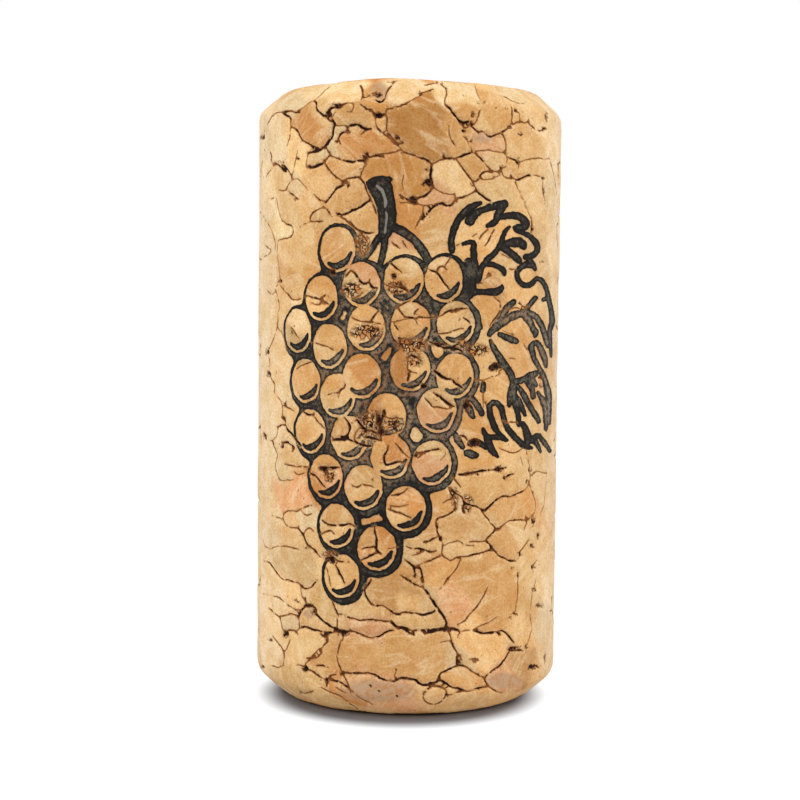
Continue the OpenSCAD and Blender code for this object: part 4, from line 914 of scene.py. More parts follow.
class Seams:
    """All seams: those laid out on the front, and scattered ones elsewhere."""

    FRONT_TURN = 1.3
    LEAST_GAPE = 0.12

    def __init__(self, sizes, skin, profile, along, turn, points):
        self.front = FrontSeams(skin)
        self.rest = ScatteredSeams(sizes)
        limit = self.FRONT_TURN + 0.1 * smooth_noise(points, 2.5, 61.0)
        self.on_front = (np.abs(turn) < limit) & ~profile.on_end(along)

    def at(self, points):
        """Distance to the nearest seam in mm, the direction to it, and how far it gapes."""
        away, toward, gape = np.empty(len(points)), np.empty((len(points), 3)), np.empty(len(points))
        here = self.on_front
        away[here], toward[here], gape[here] = self.front.at(points[here])
        _, away[~here], toward[~here], gape[~here] = self.rest.at(points[~here])
        return away, toward, gape


# The distance in mm given to a point that has no pit near it
NO_PIT = 3.0


def pit_distance(x, y, seen, points):
    """Signed distance in mm to the nearest torn pit: less than 0 inside it. Also how dark that pit is."""
    nearest, dark = np.full(len(x), NO_PIT), np.zeros(len(x))
    for pit_x, pit_y, half_w, half_h, depth in FRONT_PITS:
        a, b = (x - pit_x) / half_w, (y - pit_y) / half_h
        apart = (np.hypot(a, b) - 1) * min(half_w, half_h) / POINTS_PER_MM
        closer = seen & (apart < nearest)
        nearest[closer], dark[closer] = apart[closer], depth
    ragged = 0.06 * smooth_noise(points, 0.4, 5.0) + 0.04 * smooth_noise(points, 0.2, 9.0)
    return nearest + ragged, dark


def share_of(patches, x, y, seen):
    """How deep inside any of the patches each point lies, from 0 to 1."""
    share = np.zeros(len(x))
    for patch_x, patch_y, half_w, half_h in patches:
        apart = np.hypot((x - patch_x) / half_w, (y - patch_y) / half_h)
        share = np.maximum(share, smoothstep((1.4 - apart) / 0.6))
    return share * seen


def scattered_pits(points, away, turn):
    """Torn pits on seams away from the front: signed distance in mm."""
    blobs = smooth_noise(points, 1.5, 77.0) + 0.35 * smooth_noise(points, 0.5, 83.0)
    return np.where(np.abs(turn) > Seams.FRONT_TURN, 0.62 - blobs + np.minimum(away, 0.6), NO_PIT)


def put_attribute(mesh, name, kind, domain, values):
    layer = mesh.attributes.new(name, kind, domain)
    field = {"FLOAT": "value", "FLOAT_COLOR": "color"}[kind]
    layer.data.foreach_set(field, np.ascontiguousarray(values, np.float32).ravel())


def read_all(items, field, kind, width=1):
    values = np.empty(len(items) * width, kind)
    items.foreach_get(field, values)
    return values if width == 1 else values.reshape(-1, width)


def all_coordinates(bm):
    return np.array([v.co[:] for v in bm.verts])


# The most that a point moves to a seam, in cells of the mesh, and how nearly the way there must lie in
# the skin, from 0 to 1
SNAP_REACH, LEAST_FLAT = 0.47, 0.4


def snap_to_seams(points, normal, along, turn, profile, seams, sizes):
    """Moves the points beside a seam onto it, so that a row of edges follows every seam."""
    column = 2 * math.pi * CORK_R / (4 * sizes.end_cells)
    on_seam = np.zeros(len(points), bool)
    for _ in range(3):
        away, toward, gape = seams.at(points)
        flat = toward - (toward * normal).sum(1)[:, None] * normal
        length = np.linalg.norm(flat, axis=1)
        flat /= length[:, None] + TINY
        upright = np.abs(flat[:, 2])
        cell = np.sqrt(np.maximum(1 - upright**2, 0)) * column * (1 - FRONT_CROWDING * np.cos(turn))
        cell += upright * sizes.mesh_step
        near = (away < cell * SNAP_REACH) & (length > LEAST_FLAT) & (gape > Seams.LEAST_GAPE)
        on_seam |= near
        step = np.minimum(away / np.maximum(length, LEAST_FLAT), cell * SNAP_REACH)
        points = points + flat * np.where(near, step, 0)[:, None]
        out_r = np.hypot(points[:, 0], points[:, 1])
        turn = np.arctan2(points[:, 0], -points[:, 1])
        rise = points[:, 2] - profile.places(along, turn)[0][:, 2]
        along = np.where(profile.on_wall(along), along + rise, along)
        flat_end = out_r < profile.corners[1][0] - 1
        lower = along < profile.marks[-1] / 2
        along = np.where(flat_end, np.where(lower, out_r, profile.marks[-1] - out_r), along)
        points, normal = profile.places(along, turn)
    away, _, gape = seams.at(points)
    on_seam &= away < sizes.mesh_step * 0.3
    return points, along, turn, np.where(on_seam, 0, away), gape, on_seam


def cut_along_seams(bm, on_seam):
    """Square faces that a seam crosses are cut along it, and then all faces are made triangles."""
    bm.verts.index_update()
    for face in list(bm.faces):
        if len(face.verts) != 4:
            continue
        a, b, c, d = (on_seam[v.index] for v in face.verts)
        if a and c and not (b or d):
            bmesh.utils.face_split(face, face.verts[0], face.verts[2])
        elif b and d and not (a or c):
            bmesh.utils.face_split(face, face.verts[1], face.verts[3])
    bmesh.ops.triangulate(bm, faces=bm.faces, quad_method="FIXED", ngon_method="BEAUTY")
    put_in_order(bm)


class Patchwork:
    """Shares the cork's faces out among its granules."""

    # What it costs to cross a seam, in mm, and how far in from the side the front's own granules reach
    CROSSING = 4.0
    FRONT_INSET = 1.9

    def __init__(self, mesh, points, on_seam, turn):
        self.corners = read_all(mesh.loops, "vertex_index", np.int32).reshape(-1, 3)
        edges = read_all(mesh.loops, "edge_index", np.int32)
        ends = read_all(mesh.edges, "vertices", np.int32, 2)
        self.middles = points[self.corners].mean(1)
        self.turn = turn[self.corners].mean(1)
        faces = np.repeat(np.arange(len(self.corners)), 3)
        both = np.zeros(len(mesh.edges), np.int64)
        np.add.at(both, edges, faces)
        self.others = (both[edges] - faces).reshape(-1, 3)
        self.sealed = on_seam[ends].all(1)[edges].reshape(-1, 3)
        self.on_seam = on_seam

    def label(self, skin, seams):
        """Gives each face the number of its granule, and lists the granules' tones."""
        tones = list(seams.rest.tones)
        owner = seams.rest.at(self.middles)[0]
        front = np.abs(self.turn) < Seams.FRONT_TURN
        front &= np.hypot(self.middles[:, 0], self.middles[:, 1]) > CORK_R - self.FRONT_INSET
        starts = []
        for tone, *spots in FRONT_GRANULES:
            for x, y in zip(spots[::2], spots[1::2]):
                face = skin.hit(x, y)[1]
                if face is not None:
                    starts.append((0.0, face, len(tones)))
            tones.append(tone)
        labels = np.where(front, -1, owner).tolist()
        apart = np.linalg.norm(self.middles[self.others] - self.middles[:, None], axis=2)
        costs = (apart + self.CROSSING * self.sealed).tolist()
        others = self.others.tolist()
        for face in np.flatnonzero(~front[self.others].all(1) & front):
            for other, cost in zip(others[face], costs[face]):
                if labels[other] >= 0:
                    starts.append((cost + self.CROSSING / 2, int(face), labels[other]))
        heapq.heapify(starts)
        while starts:
            away, face, number = heapq.heappop(starts)
            if labels[face] >= 0:
                continue
            labels[face] = number
            for other, cost in zip(others[face], costs[face]):
                if labels[other] < 0:
                    heapq.heappush(starts, (away + cost, other, number))
        return np.array(labels), tones

    def softened(self, values, rounds):
        """Face values evened out between neighbours that no seam parts."""
        open_side = ~self.sealed[:, :, None]
        for _ in range(rounds):
            total = values + (values[self.others] * open_side).sum(1)
            values = total / (1 + open_side.sum(1))
        return values

    def at_vertices(self, values):
        """The mean of the face values round each vertex."""
        total = np.zeros((len(self.on_seam), values.shape[1]))
        count = np.zeros(len(self.on_seam))
        for i in range(3):
            np.add.at(total, self.corners[:, i], values)
            np.add.at(count, self.corners[:, i], 1)
        return total / count[:, None]

    def at_corners(self, values):
        """Values for the face corners: evened out, but sharp at the seams."""
        blended = self.at_vertices(values)[self.corners]
        own = np.repeat(values[:, None, :], 3, axis=1)
        return np.where(self.on_seam[self.corners][:, :, None], own, blended).reshape(-1, values.shape[1])


# How much granules differ in level and in lean, and the lowest and highest that one lies, in mm
GRANULE_LEVEL, GRANULE_LEAN, GRANULE_LIMITS = 0.018, 0.010, (-0.05, 0.04)
# A granule that stands proud of the upper rim: by how many mm, and at which turn
RIM_RISE, RIM_RISE_TURN = 0.25, -0.16
# How far under the outline the whole skin lies, in mm, so that nothing stands out of the cork's size
SKIN_SUNK = 0.05


def granule_relief(patchwork, labels, count, away):
    """How far each point rises, because granules lie higher or lower than their neighbours and lean."""
    draw = seeded(RELIEF_SEED)
    size = np.maximum(np.bincount(labels, minlength=count), 1)
    total = np.stack([np.bincount(labels, patchwork.middles[:, i], count) for i in range(3)], 1)
    apart = patchwork.middles - (total / size[:, None])[labels]
    lean = draw.normal(0, GRANULE_LEAN, (count, 3))
    level = draw.normal(0, GRANULE_LEVEL, count)[labels] + (apart * lean[labels]).sum(1)
    level = patchwork.at_vertices(patchwork.softened(level[:, None], 2))[:, 0]
    return np.clip(level, *GRANULE_LIMITS) * smoothstep(away / 0.35)


def build_cork(sizes):
    """The cork's mesh in metres, with seams, pits and uneven granules, and the values its finish reads."""
    profile = Profile(sizes)
    bm = plain_cork(sizes, profile)
    bm.verts.ensure_lookup_table()
    sharp = all_coordinates(bm)
    along = profile.find(sharp)
    turn = crowd_front(np.arctan2(sharp[:, 0], -sharp[:, 1]))
    points, normal = profile.places(along, turn)
    place_vertices(bm, points)
    seams = Seams(sizes, Skin(bm), profile, along, turn, points)
    snapped = snap_to_seams(points, normal, along, turn, profile, seams, sizes)
    points, along, turn, away, gape, on_seam = snapped
    place_vertices(bm, points)
    cut_along_seams(bm, on_seam)
    skin = Skin(bm)
    mesh = bpy.data.meshes.new("cork_body_dressed")
    bm.to_mesh(mesh)
    bm.free()

    patchwork = Patchwork(mesh, points, on_seam, turn)
    labels, tones = patchwork.label(skin, seams)
    x, y = seen_at(points)
    seen = facing_camera(points, profile.places(along, turn)[1])
    pit, dark = pit_distance(x, y, seen, points)
    pit = np.minimum(pit, scattered_pits(points, away, turn))
    crumbled = share_of(CRUMBLED, x, y, seen)
    grey = share_of(BARE_GREY, x, y, seen)

    rise = granule_relief(patchwork, labels, len(tones), away) + 0.012 * smooth_noise(points, 0.9, 3.0)
    rise += crumbled * (0.09 * smooth_noise(points, 0.3, 13.0) - 0.05)
    from_rim = ((turn - RIM_RISE_TURN) / 0.35) ** 2, ((along - profile.marks[4] + 0.3) / 1.1) ** 2
    rise += RIM_RISE * np.exp(-from_rim[0] - from_rim[1])
    depth = sizes.seam_depth * (0.12 + 0.88 * gape**1.6) * smoothstep(1 - away / (0.1 + sizes.seam_w * gape))
    depth = np.maximum(depth, sizes.pit_depth * smoothstep(-pit / 0.2 + 0.3) * np.maximum(dark, 0.6))
    final = profile.places(along, turn, rise - depth - SKIN_SUNK)[0]
    mesh.vertices.foreach_set("co", (final * MM).astype(np.float32).ravel())
    mesh.update()

    for name, values in (
        ("seam", away), ("gape", gape), ("pit", pit), ("crumbled", crumbled), ("grey", grey),
        ("print_arc", turn * CORK_R), ("print_height", points[:, 2]),
    ):
        put_attribute(mesh, name, "FLOAT", "POINT", values)
    color_granules(mesh, patchwork, labels, tones, points, turn)
    mesh.shade_smooth()
    return mesh


def place_vertices(bm, points):
    for v, place in zip(bm.verts, points):
        v.co = place


# Both sides of the cork are painted paler, as painted light from the side lamps: how strongly, at which turn
# from the front, over what spread of turn, and to which colour
PAINTED_SIDE_LIGHT, PAINTED_SIDE_LIGHT_TURN, PAINTED_SIDE_LIGHT_SPREAD = 0.85, 1.5, 0.38
PAINTED_SIDE_LIGHT_COLOR = (0.88, 0.76, 0.58)
# How far in from the side the flat part of each end starts, in mm
END_INSET = 2.6


def color_granules(mesh, patchwork, labels, tones, points, turn):
    """Each face gets its granule's colour, and grain that runs its granule's own way."""
    draw = seeded(COLOR_SEED)
    total = len(tones)
    base = np.array([TONES[t][0] for t in tones])
    streaks = np.array([TONES[t][1] for t in tones])
    light = draw.normal(1, 0.07, (total, 1))
    warm = draw.normal(0, 0.03, (total, 1)) * np.array([[0.3, -0.4, -1.0]])
    shade = np.clip(base * light * (1 + warm), 0.05, 0.9)
    color = np.c_[shade, streaks][labels]
    # Painted light: the granules toward both sides of the cork, where the side lamps fall, are painted paler
    painted_side_light = PAINTED_SIDE_LIGHT * np.exp(-(((np.abs(patchwork.turn) - PAINTED_SIDE_LIGHT_TURN) / PAINTED_SIDE_LIGHT_SPREAD) ** 2))[:, None]
    color[:, :3] += painted_side_light * (np.array(PAINTED_SIDE_LIGHT_COLOR) - color[:, :3])
    color = patchwork.softened(color, 3)
    put_attribute(mesh, "granule", "FLOAT_COLOR", "CORNER", patchwork.at_corners(color))

    corners = patchwork.corners.ravel()
    owner = np.repeat(labels, 3)
    first_turn = np.repeat(turn[patchwork.corners[:, 0]], 3)
    arc = turn[corners] + 2 * math.pi * np.round((first_turn - turn[corners]) / (2 * math.pi))
    middle = np.repeat(patchwork.middles, 3, axis=0)
    flat_end = np.hypot(middle[:, 0], middle[:, 1]) < CORK_R - END_INSET
    u = np.where(flat_end, points[corners, 0], arc * CORK_R)
    v = np.where(flat_end, points[corners, 1] + CORK_L * 2, points[corners, 2])
    lean = draw.uniform(0, math.pi, total)[owner]
    grain = np.c_[u * np.cos(lean) + v * np.sin(lean) + owner * 9.7, -u * np.sin(lean) + v * np.cos(lean)]
    layer = mesh.uv_layers.new(name="grain")
    layer.data.foreach_set("uv", np.ascontiguousarray(grain, np.float32).ravel())


# --- the printed bunch ------------------------------------------------------------------------

# How far in mm a vertex may move to reach the ink's edge, the step over which the edge's slope is taken,
# and the least slope that counts
INK_REACH, SLOPE_STEP, LEAST_SLOPE = 0.045, 0.02, 0.3
# How squarely a face of the ink must face outwards, from 0 to 1
LEAST_FACING = 0.2


def outward(v):
    return Vector((v.co.x, v.co.y, 0)).normalized()


def build_print(cork, sizes):
    """The ink: a thin layer lifted from the cork's own faces, cut to the drawn lines and closed below."""
    bm = bmesh.new()
    bm.from_mesh(cork)
    skin = BVHTree.FromBMesh(bm)
    keep_print_faces(bm, sizes, -0.25)
    bmesh.ops.subdivide_edges(bm, edges=bm.edges, cuts=1, use_grid_fill=True)
    draw_edge_of_ink(bm, skin, sizes)
    keep_print_faces(bm, sizes, 0.0)
    x, y = seen_at(all_coordinates(bm) / MM)
    put_layer(bm, "gleam", drawn_distance(x, y, STALK_GLEAM))
    put_layer(bm, "solid", share_of(SOLID_INK, x, y, True))
    put_layer(bm, "worn", share_of(WORN_INK, x, y, True))
    part_touching_corners(bm)
    for v in bm.verts:
        v.co += outward(v) * sizes.ink_up * MM
    made = bmesh.ops.extrude_face_region(bm, geom=bm.faces[:], use_keep_orig=True)["geom"]
    for v in made:
        if isinstance(v, bmesh.types.BMVert):
            v.co -= outward(v) * sizes.ink_depth * MM
    bmesh.ops.recalc_face_normals(bm, faces=bm.faces)
    put_in_order(bm)
    mesh = bpy.data.meshes.new("grape_print_dressed")
    bm.to_mesh(mesh)
    bm.free()
    mesh.shade_smooth()
    return mesh


def put_layer(bm, name, values):
    layer = bm.verts.layers.float.get(name) or bm.verts.layers.float.new(name)
    for v, value in zip(bm.verts, values):
        v[layer] = value


def layer_values(bm, name):
    layer = bm.verts.layers.float[name]
    return np.array([v[layer] for v in bm.verts])


def keep_print_faces(bm, sizes, least):
    """Deletes the faces that lie further out of the ink than the least distance."""
    bm.verts.index_update()
    arc, height = layer_values(bm, "print_arc"), layer_values(bm, "print_height")
    inside = np.full(len(arc), -FAR)
    near = (np.abs(arc) < PRINT_SIDE) & (height > PRINT_FOOT - 0.5) & (height < PRINT_TOP)
    inside[near] = ink_inside(arc[near], height[near], sizes)
    put_layer(bm, "ink", inside)
    outside = [f for f in bm.faces if sum(inside[v.index] for v in f.verts) / len(f.verts) <= least]
    bmesh.ops.delete(bm, geom=outside, context="FACES")


def draw_edge_of_ink(bm, skin, sizes):
    """Moves the vertices beside the ink's edge onto it, along the cork's surface."""
    bm.verts.ensure_lookup_table()
    old_arc, old_height = layer_values(bm, "print_arc"), layer_values(bm, "print_height")
    arc, height = old_arc, old_height
    for _ in range(2):
        inside = ink_inside(arc, height, sizes)
        slope_x = (ink_inside(arc + SLOPE_STEP, height, sizes) - inside) / SLOPE_STEP
        slope_y = (ink_inside(arc, height + SLOPE_STEP, sizes) - inside) / SLOPE_STEP
        steep = slope_x**2 + slope_y**2
        near = (np.abs(inside) < INK_REACH) & (steep > LEAST_SLOPE)
        steep = np.maximum(steep, LEAST_SLOPE)
        arc = np.where(near, arc - inside * slope_x / steep, arc)
        height = np.where(near, height - inside * slope_y / steep, height)
    arc_layer, height_layer = bm.verts.layers.float["print_arc"], bm.verts.layers.float["print_height"]
    old_place = {}
    for v, to_arc, to_height, from_arc, from_height in zip(bm.verts, arc, height, old_arc, old_height):
        if abs(to_arc - from_arc) + abs(to_height - from_height) > 1e-6:
            old_place[v] = (v.co.copy(), from_arc, from_height)
            turn = from_arc / CORK_R
            sideways = Vector((math.cos(turn), math.sin(turn), 0)) * (to_arc - from_arc)
            moved = v.co + (sideways + Vector((0, 0, to_height - from_height))) * MM
            v.co = skin.find_nearest(moved)[0]
            v[arc_layer], v[height_layer] = to_arc, to_height
    # A vertex whose move would fold a face over goes back to its old place
    folded = True
    while folded:
        bm.normal_update()
        turned = [f for f in bm.faces if f.normal.dot(outward(f.verts[0])) < LEAST_FACING]
        folded = {v for f in turned for v in f.verts if v in old_place}
        for v in folded:
            v.co, v[arc_layer], v[height_layer] = old_place.pop(v)


def part_touching_corners(bm):
    """Where two patches of ink touch at one point only, each gets a point of its own."""
    for v in list(bm.verts):
        rim = [e for e in v.link_edges if e.is_boundary]
        if len(rim) > 2:
            bmesh.utils.vert_separate(v, rim)


# --- materials --------------------------------------------------------------------------------


class Nodes:
    """Short calls that add and link the nodes of one material."""

    def __init__(self, material):
        material.use_nodes = True
        self.tree = material.node_tree
        self.tree.nodes.clear()

    def add(self, kind, inputs=None, **settings):
        node = self.tree.nodes.new(kind)
        for key, value in settings.items():
            setattr(node, key, value)
        for key, value in (inputs or {}).items():
            self.feed(node.inputs[key], value)
        return node

    def feed(self, socket, value):
        if isinstance(value, bpy.types.NodeSocket):
            self.tree.links.new(value, socket)
        else:
            socket.default_value = value

    def math(self, operation, a, b=0.0, c=0.0):
        node = self.add("ShaderNodeMath", operation=operation)
        for socket, value in zip(node.inputs, (a, b, c)):
            self.feed(socket, value)
        return node.outputs[0]

    def times(self, a, b):
        return self.math("MULTIPLY", a, b)

    def attribute(self, name, output="Fac"):
        """One output of an attribute that the mesh carries."""
        node = self.add("ShaderNodeAttribute", attribute_type="GEOMETRY", attribute_name=name)
        return node.outputs[output]

    def noise(self, vector, scale, detail=3.0, roughness=0.5, distortion=0.0, output="Fac"):
        values = {"Vector": vector, "Scale": scale, "Detail": detail, "Roughness": roughness}
        return self.add("ShaderNodeTexNoise", {**values, "Distortion": distortion}).outputs[output]

    def cells(self, vector, scale, **settings):
        return self.add("ShaderNodeTexVoronoi", {"Vector": vector, "Scale": scale}, **settings).outputs

    def split(self, color):
        return self.add("ShaderNodeSeparateColor", {"Color": color}).outputs

    def vector(self, operation, a, b):
        return self.add("ShaderNodeVectorMath", {0: a, 1: b}, operation=operation).outputs["Vector"]

    def stretch(self, vector, x, y, z=1.0):
        return self.add("ShaderNodeMapping", {"Vector": vector, "Scale": (x, y, z)}).outputs["Vector"]

    def ramp(self, value, low, high, start=0.0, end=1.0, smooth=True):
        """value taken from the range low to high into the range start to end."""
        node = self.add(
            "ShaderNodeMapRange",
            {"Value": value, "From Min": low, "From Max": high, "To Min": start, "To Max": end},
            interpolation_type="SMOOTHSTEP" if smooth else "LINEAR",
            clamp=True,
        )
        return node.outputs["Result"]

    def mix(self, factor, a, b, blend="MIX"):
        node = self.add("ShaderNodeMix", data_type="RGBA", blend_type=blend, clamp_factor=True)
        self.feed(node.inputs["Factor"], factor)
        self.feed(node.inputs[6], a if isinstance(a, bpy.types.NodeSocket) else (*a, 1))
        self.feed(node.inputs[7], b if isinstance(b, bpy.types.NodeSocket) else (*b, 1))
        return node.outputs[2]

    def tint(self, factor, color, by):
        """The colour multiplied by another, as far as the factor says."""
        return self.mix(factor, color, by, "MULTIPLY")

    def surface(self, color, roughness, normal, specular):
        values = {"Base Color": color, "Roughness": roughness, "Specular IOR Level": specular}
        self.finish(self.add("ShaderNodeBsdfPrincipled", {**values, "Normal": normal}))

    def finish(self, shader, kind="ShaderNodeOutputMaterial"):
        self.add(kind, {"Surface": shader.outputs[0]})


class CorkNodes(Nodes):
    """The nodes that the bare cork and its print share."""

    def __init__(self, material, looks):
        super().__init__(material)
        self.looks = looks
        place = self.add("ShaderNodeTexCoord").outputs["Object"]
        self.place = self.stretch(place, 1 / MM, 1 / MM, 1 / MM)
        self.grain = self.add("ShaderNodeUVMap", uv_map="grain").outputs["UV"]
        self.fine = self.noise(self.place, 7.0, 4.0, 0.7)
        self.streaks = self.noise(self.stretch(self.grain, 0.5, 2.6), 1.3, 4.0, 0.6, 0.6)

    def bare_color(self):
        """The granules' own colours, with their mottle, grain and pores."""
        looks = self.looks
        color = self.attribute("granule", "Color")
        mottle = self.noise(self.place, 0.8, 4.0, 0.6)
        color = self.tint(self.ramp(mottle, 0.35, 0.65, 0, 1.0), color, (0.90, 0.80, 0.66))
        streak = self.times(self.ramp(self.streaks, 0.52, 0.72), self.attribute("granule", "Alpha"))
        color = self.mix(self.times(streak, 0.45), color, looks.streak_color)
        pale = self.noise(self.stretch(self.grain, 0.4, 1.6), 0.8, 4.0, 0.6, 1.0)
        color = self.mix(self.ramp(pale, 0.50, 0.70, 0, 0.5), color, looks.pale_grain_and_lip_highlight_color)
        color = self.tint(self.ramp(self.fine, 0.60, 0.36, 0, 0.9), color, (0.84, 0.73, 0.60))
        specks = self.noise(self.place, 4.2, 3.0, 0.65)
        color = self.mix(self.ramp(specks, 0.66, 0.71, 0, 0.7), color, looks.seam_color)

        cells = self.cells(self.stretch(self.grain, 1.0, 1.7), 0.9)
        red = self.split(cells["Color"])["Red"]
        size = self.times(self.noise(self.place, 3.0), 0.16)
        pore = self.ramp(self.math("SUBTRACT", cells["Distance"], size), 0.03, -0.02)
        pore = self.times(pore, self.ramp(red, 0.84, 0.86, 0, 0.7))
        color = self.mix(pore, color, looks.pore_color)
        share = self.attribute("grey")
        grey = self.times(share, self.ramp(self.fine, 0.3, 0.6, 0.3, 0.85))
        color = self.mix(grey, color, looks.grey_color)
        torn = self.ramp(self.noise(self.place, 3.2, 5.0, 0.7), 0.50, 0.60, 0, 0.75)
        return self.mix(self.times(share, torn), color, looks.streak_color)

    def crumbled(self, color):
        """The colour with the crumbled places: small flakes of many tones, parted by dark cracks."""
        looks = self.looks
        share = self.attribute("crumbled")
        bent = self.vector("MULTIPLY", self.noise(self.place, 1.7, output="Color"), (0.9, 0.9, 0.9))
        bent = self.vector("ADD", self.place, bent)
        tone = self.split(self.cells(bent, 3.0)["Color"])
        flake = self.mix(self.ramp(tone["Red"], 0.35, 0.45), looks.streak_color, looks.flake_color)
        flake = self.mix(self.ramp(tone["Green"], 0.75, 0.8), flake, looks.rust_color)
        edge = self.cells(bent, 3.0, feature="DISTANCE_TO_EDGE")["Distance"]
        crack = self.math("ADD", edge, self.times(self.fine, 0.22))
        color = self.mix(self.times(share, 0.8), color, flake)
        color = self.mix(self.times(share, self.ramp(crack, 0.28, 0.18)), color, looks.seam_color)
        dark = self.noise(self.place, 1.6, 4.0, 0.7)
        dark = self.times(self.ramp(crack, 0.30, 0.20), self.ramp(dark, 0.42, 0.52))
        return self.mix(self.times(share, dark), color, looks.crack_color)

    def cracked(self, color):
        """The colour with its seams, the painted highlights on their lips, crumbled places and pits. Also how
        deep each point lies in a seam.
        """
        looks = self.looks
        color = self.crumbled(color)
        gape = self.attribute("gape")
        uneven = self.ramp(self.noise(self.place, 1.6, 3.0, 0.6), 0.3, 0.7, 0.6, 1.3)
        gape = self.times(gape, uneven)
        jitter = self.math("MULTIPLY_ADD", self.noise(self.place, 6.0, 3.0, 0.6), 0.10, -0.05)
        jitter = self.times(jitter, self.ramp(gape, 0.1, 0.8, 0.3, 1.0))
        away = self.math("ADD", self.attribute("seam"), jitter)
        half = self.ramp(gape, 0.1, 1.2, looks.seam_half, looks.crack_half, smooth=False)
        past = self.math("SUBTRACT", away, half)
        inside = self.ramp(past, 0.035, -0.01)
        # Painted highlight: the lips along gaping seams are painted paler, as if light caught their edges
        painted_lip_highlight = self.times(self.ramp(past, 0.22, 0.12), self.ramp(self.fine, 0.45, 0.6, 0, 0.45))
        color = self.mix(self.times(painted_lip_highlight, self.ramp(gape, 0.2, 0.7)), color, looks.pale_grain_and_lip_highlight_color)
        halo = self.times(self.ramp(past, 0.11, 0.0, 0, 0.7), self.ramp(gape, 0.05, 0.6, 0.4, 1.0))
        color = self.mix(halo, color, looks.streak_color)
        tone = self.mix(self.ramp(gape, 0.38, 0.80), looks.seam_color, looks.crack_color)
        color = self.mix(self.times(inside, self.ramp(gape, 0.05, 0.45, 0.6, 1.0)), color, tone)

        rough = self.math("MULTIPLY_ADD", self.noise(self.place, 4.0, 4.0, 0.75), 0.5, -0.25)
        pit = self.math("ADD", self.attribute("pit"), rough)
        color = self.mix(self.ramp(pit, 0.06, 0.0, 0, 0.8), color, looks.seam_color)
        speckled = self.ramp(self.noise(self.place, 6.0, 2.0), 0.56, 0.70)
        bottom = self.mix(speckled, looks.crack_color, looks.pore_color)
        return self.mix(self.ramp(pit, 0.0, -0.05), color, bottom), inside

    def raised(self, sunk):
        """The bump: fine grain, with the seams sunk."""
        height = self.math("MULTIPLY_ADD", self.streaks, 0.5, self.fine)
        height = self.math("MULTIPLY_ADD", sunk, -1.2, height)
        bump = self.add("ShaderNodeBump", {"Strength": 0.45, "Distance": 0.00006, "Height": height})
        return bump.outputs["Normal"]


def cork_material(looks):
    material = bpy.data.materials.new("pressed_cork")
    n = CorkNodes(material, looks)
    color, sunk = n.cracked(n.bare_color())
    n.surface(color, 0.85, n.raised(sunk), 0.08)
    return material


def ink_material(looks):
    """Food ink soaked into cork: near-black where a line ends, greyer inside, thin where it is worn."""
    material = bpy.data.materials.new("soaked_ink")
    n = CorkNodes(material, looks)
    bare = n.bare_color()
    solid, worn = n.attribute("solid"), n.attribute("worn")
    jitter = n.math("MULTIPLY_ADD", n.noise(n.place, 5.0, 3.0, 0.6), 0.10, -0.05)
    edge = n.math("ADD", n.attribute("ink"), jitter)
    mottle = n.noise(n.place, 3.6, 5.0, 0.75)
    patches = n.noise(n.place, 1.3, 3.0, 0.6)
    body = n.mix(n.ramp(mottle, 0.42, 0.60), looks.ink_dark, looks.ink_grey)
    thin = n.tint(1.0, bare, looks.ink_wash)
    thinned = n.times(n.ramp(edge, 0.12, 0.24), n.ramp(mottle, 0.42, 0.52, 0.1, 1.0))
    faded = n.math("ADD", n.times(worn, 0.85), n.ramp(patches, 0.50, 0.68, 0, 0.4))
    body = n.mix(n.times(thinned, faded), body, thin)
    body = n.mix(n.times(solid, n.ramp(mottle, 0.50, 0.62, 1.0, 0.5)), body, looks.ink_dark)
    thicker = n.math("MULTIPLY_ADD", worn, -0.5, solid)
    rim_from = n.math("MULTIPLY_ADD", thicker, 0.035, 0.085)
    rim = n.ramp(edge, rim_from, n.math("MULTIPLY_ADD", thicker, 0.06, 0.165))
    faint = n.times(worn, n.ramp(patches, 0.42, 0.58, 0.1, 0.7))
    color = n.mix(n.math("MAXIMUM", rim, faint), looks.ink_rim, body)
    gleam = n.math("ADD", n.attribute("gleam"), jitter)
    color = n.mix(n.ramp(gleam, 0.02, -0.06, 0, 0.9), color, looks.ink_gleam)
    flecks = n.noise(n.place, 2.6, 5.0, 0.75)
    color = n.mix(n.ramp(flecks, 0.64, 0.70, 0, 0.75), color, thin)
    color = n.mix(n.ramp(edge, 0.0, 0.035), bare, color)
    color, sunk = n.cracked(color)
    n.surface(color, 0.75, n.raised(sunk), 0.12)
    return material


# --- properties and operators -----------------------------------------------------------------


def length(name, text, default, least, most):
    text += ", in millimetres"
    return FloatProperty(name=name, description=text, default=default, min=least, max=most)


def color_property(name, text, default):
    return FloatVectorProperty(
        name=name, description=text, subtype="COLOR", size=3, min=0, max=1, default=default
    )


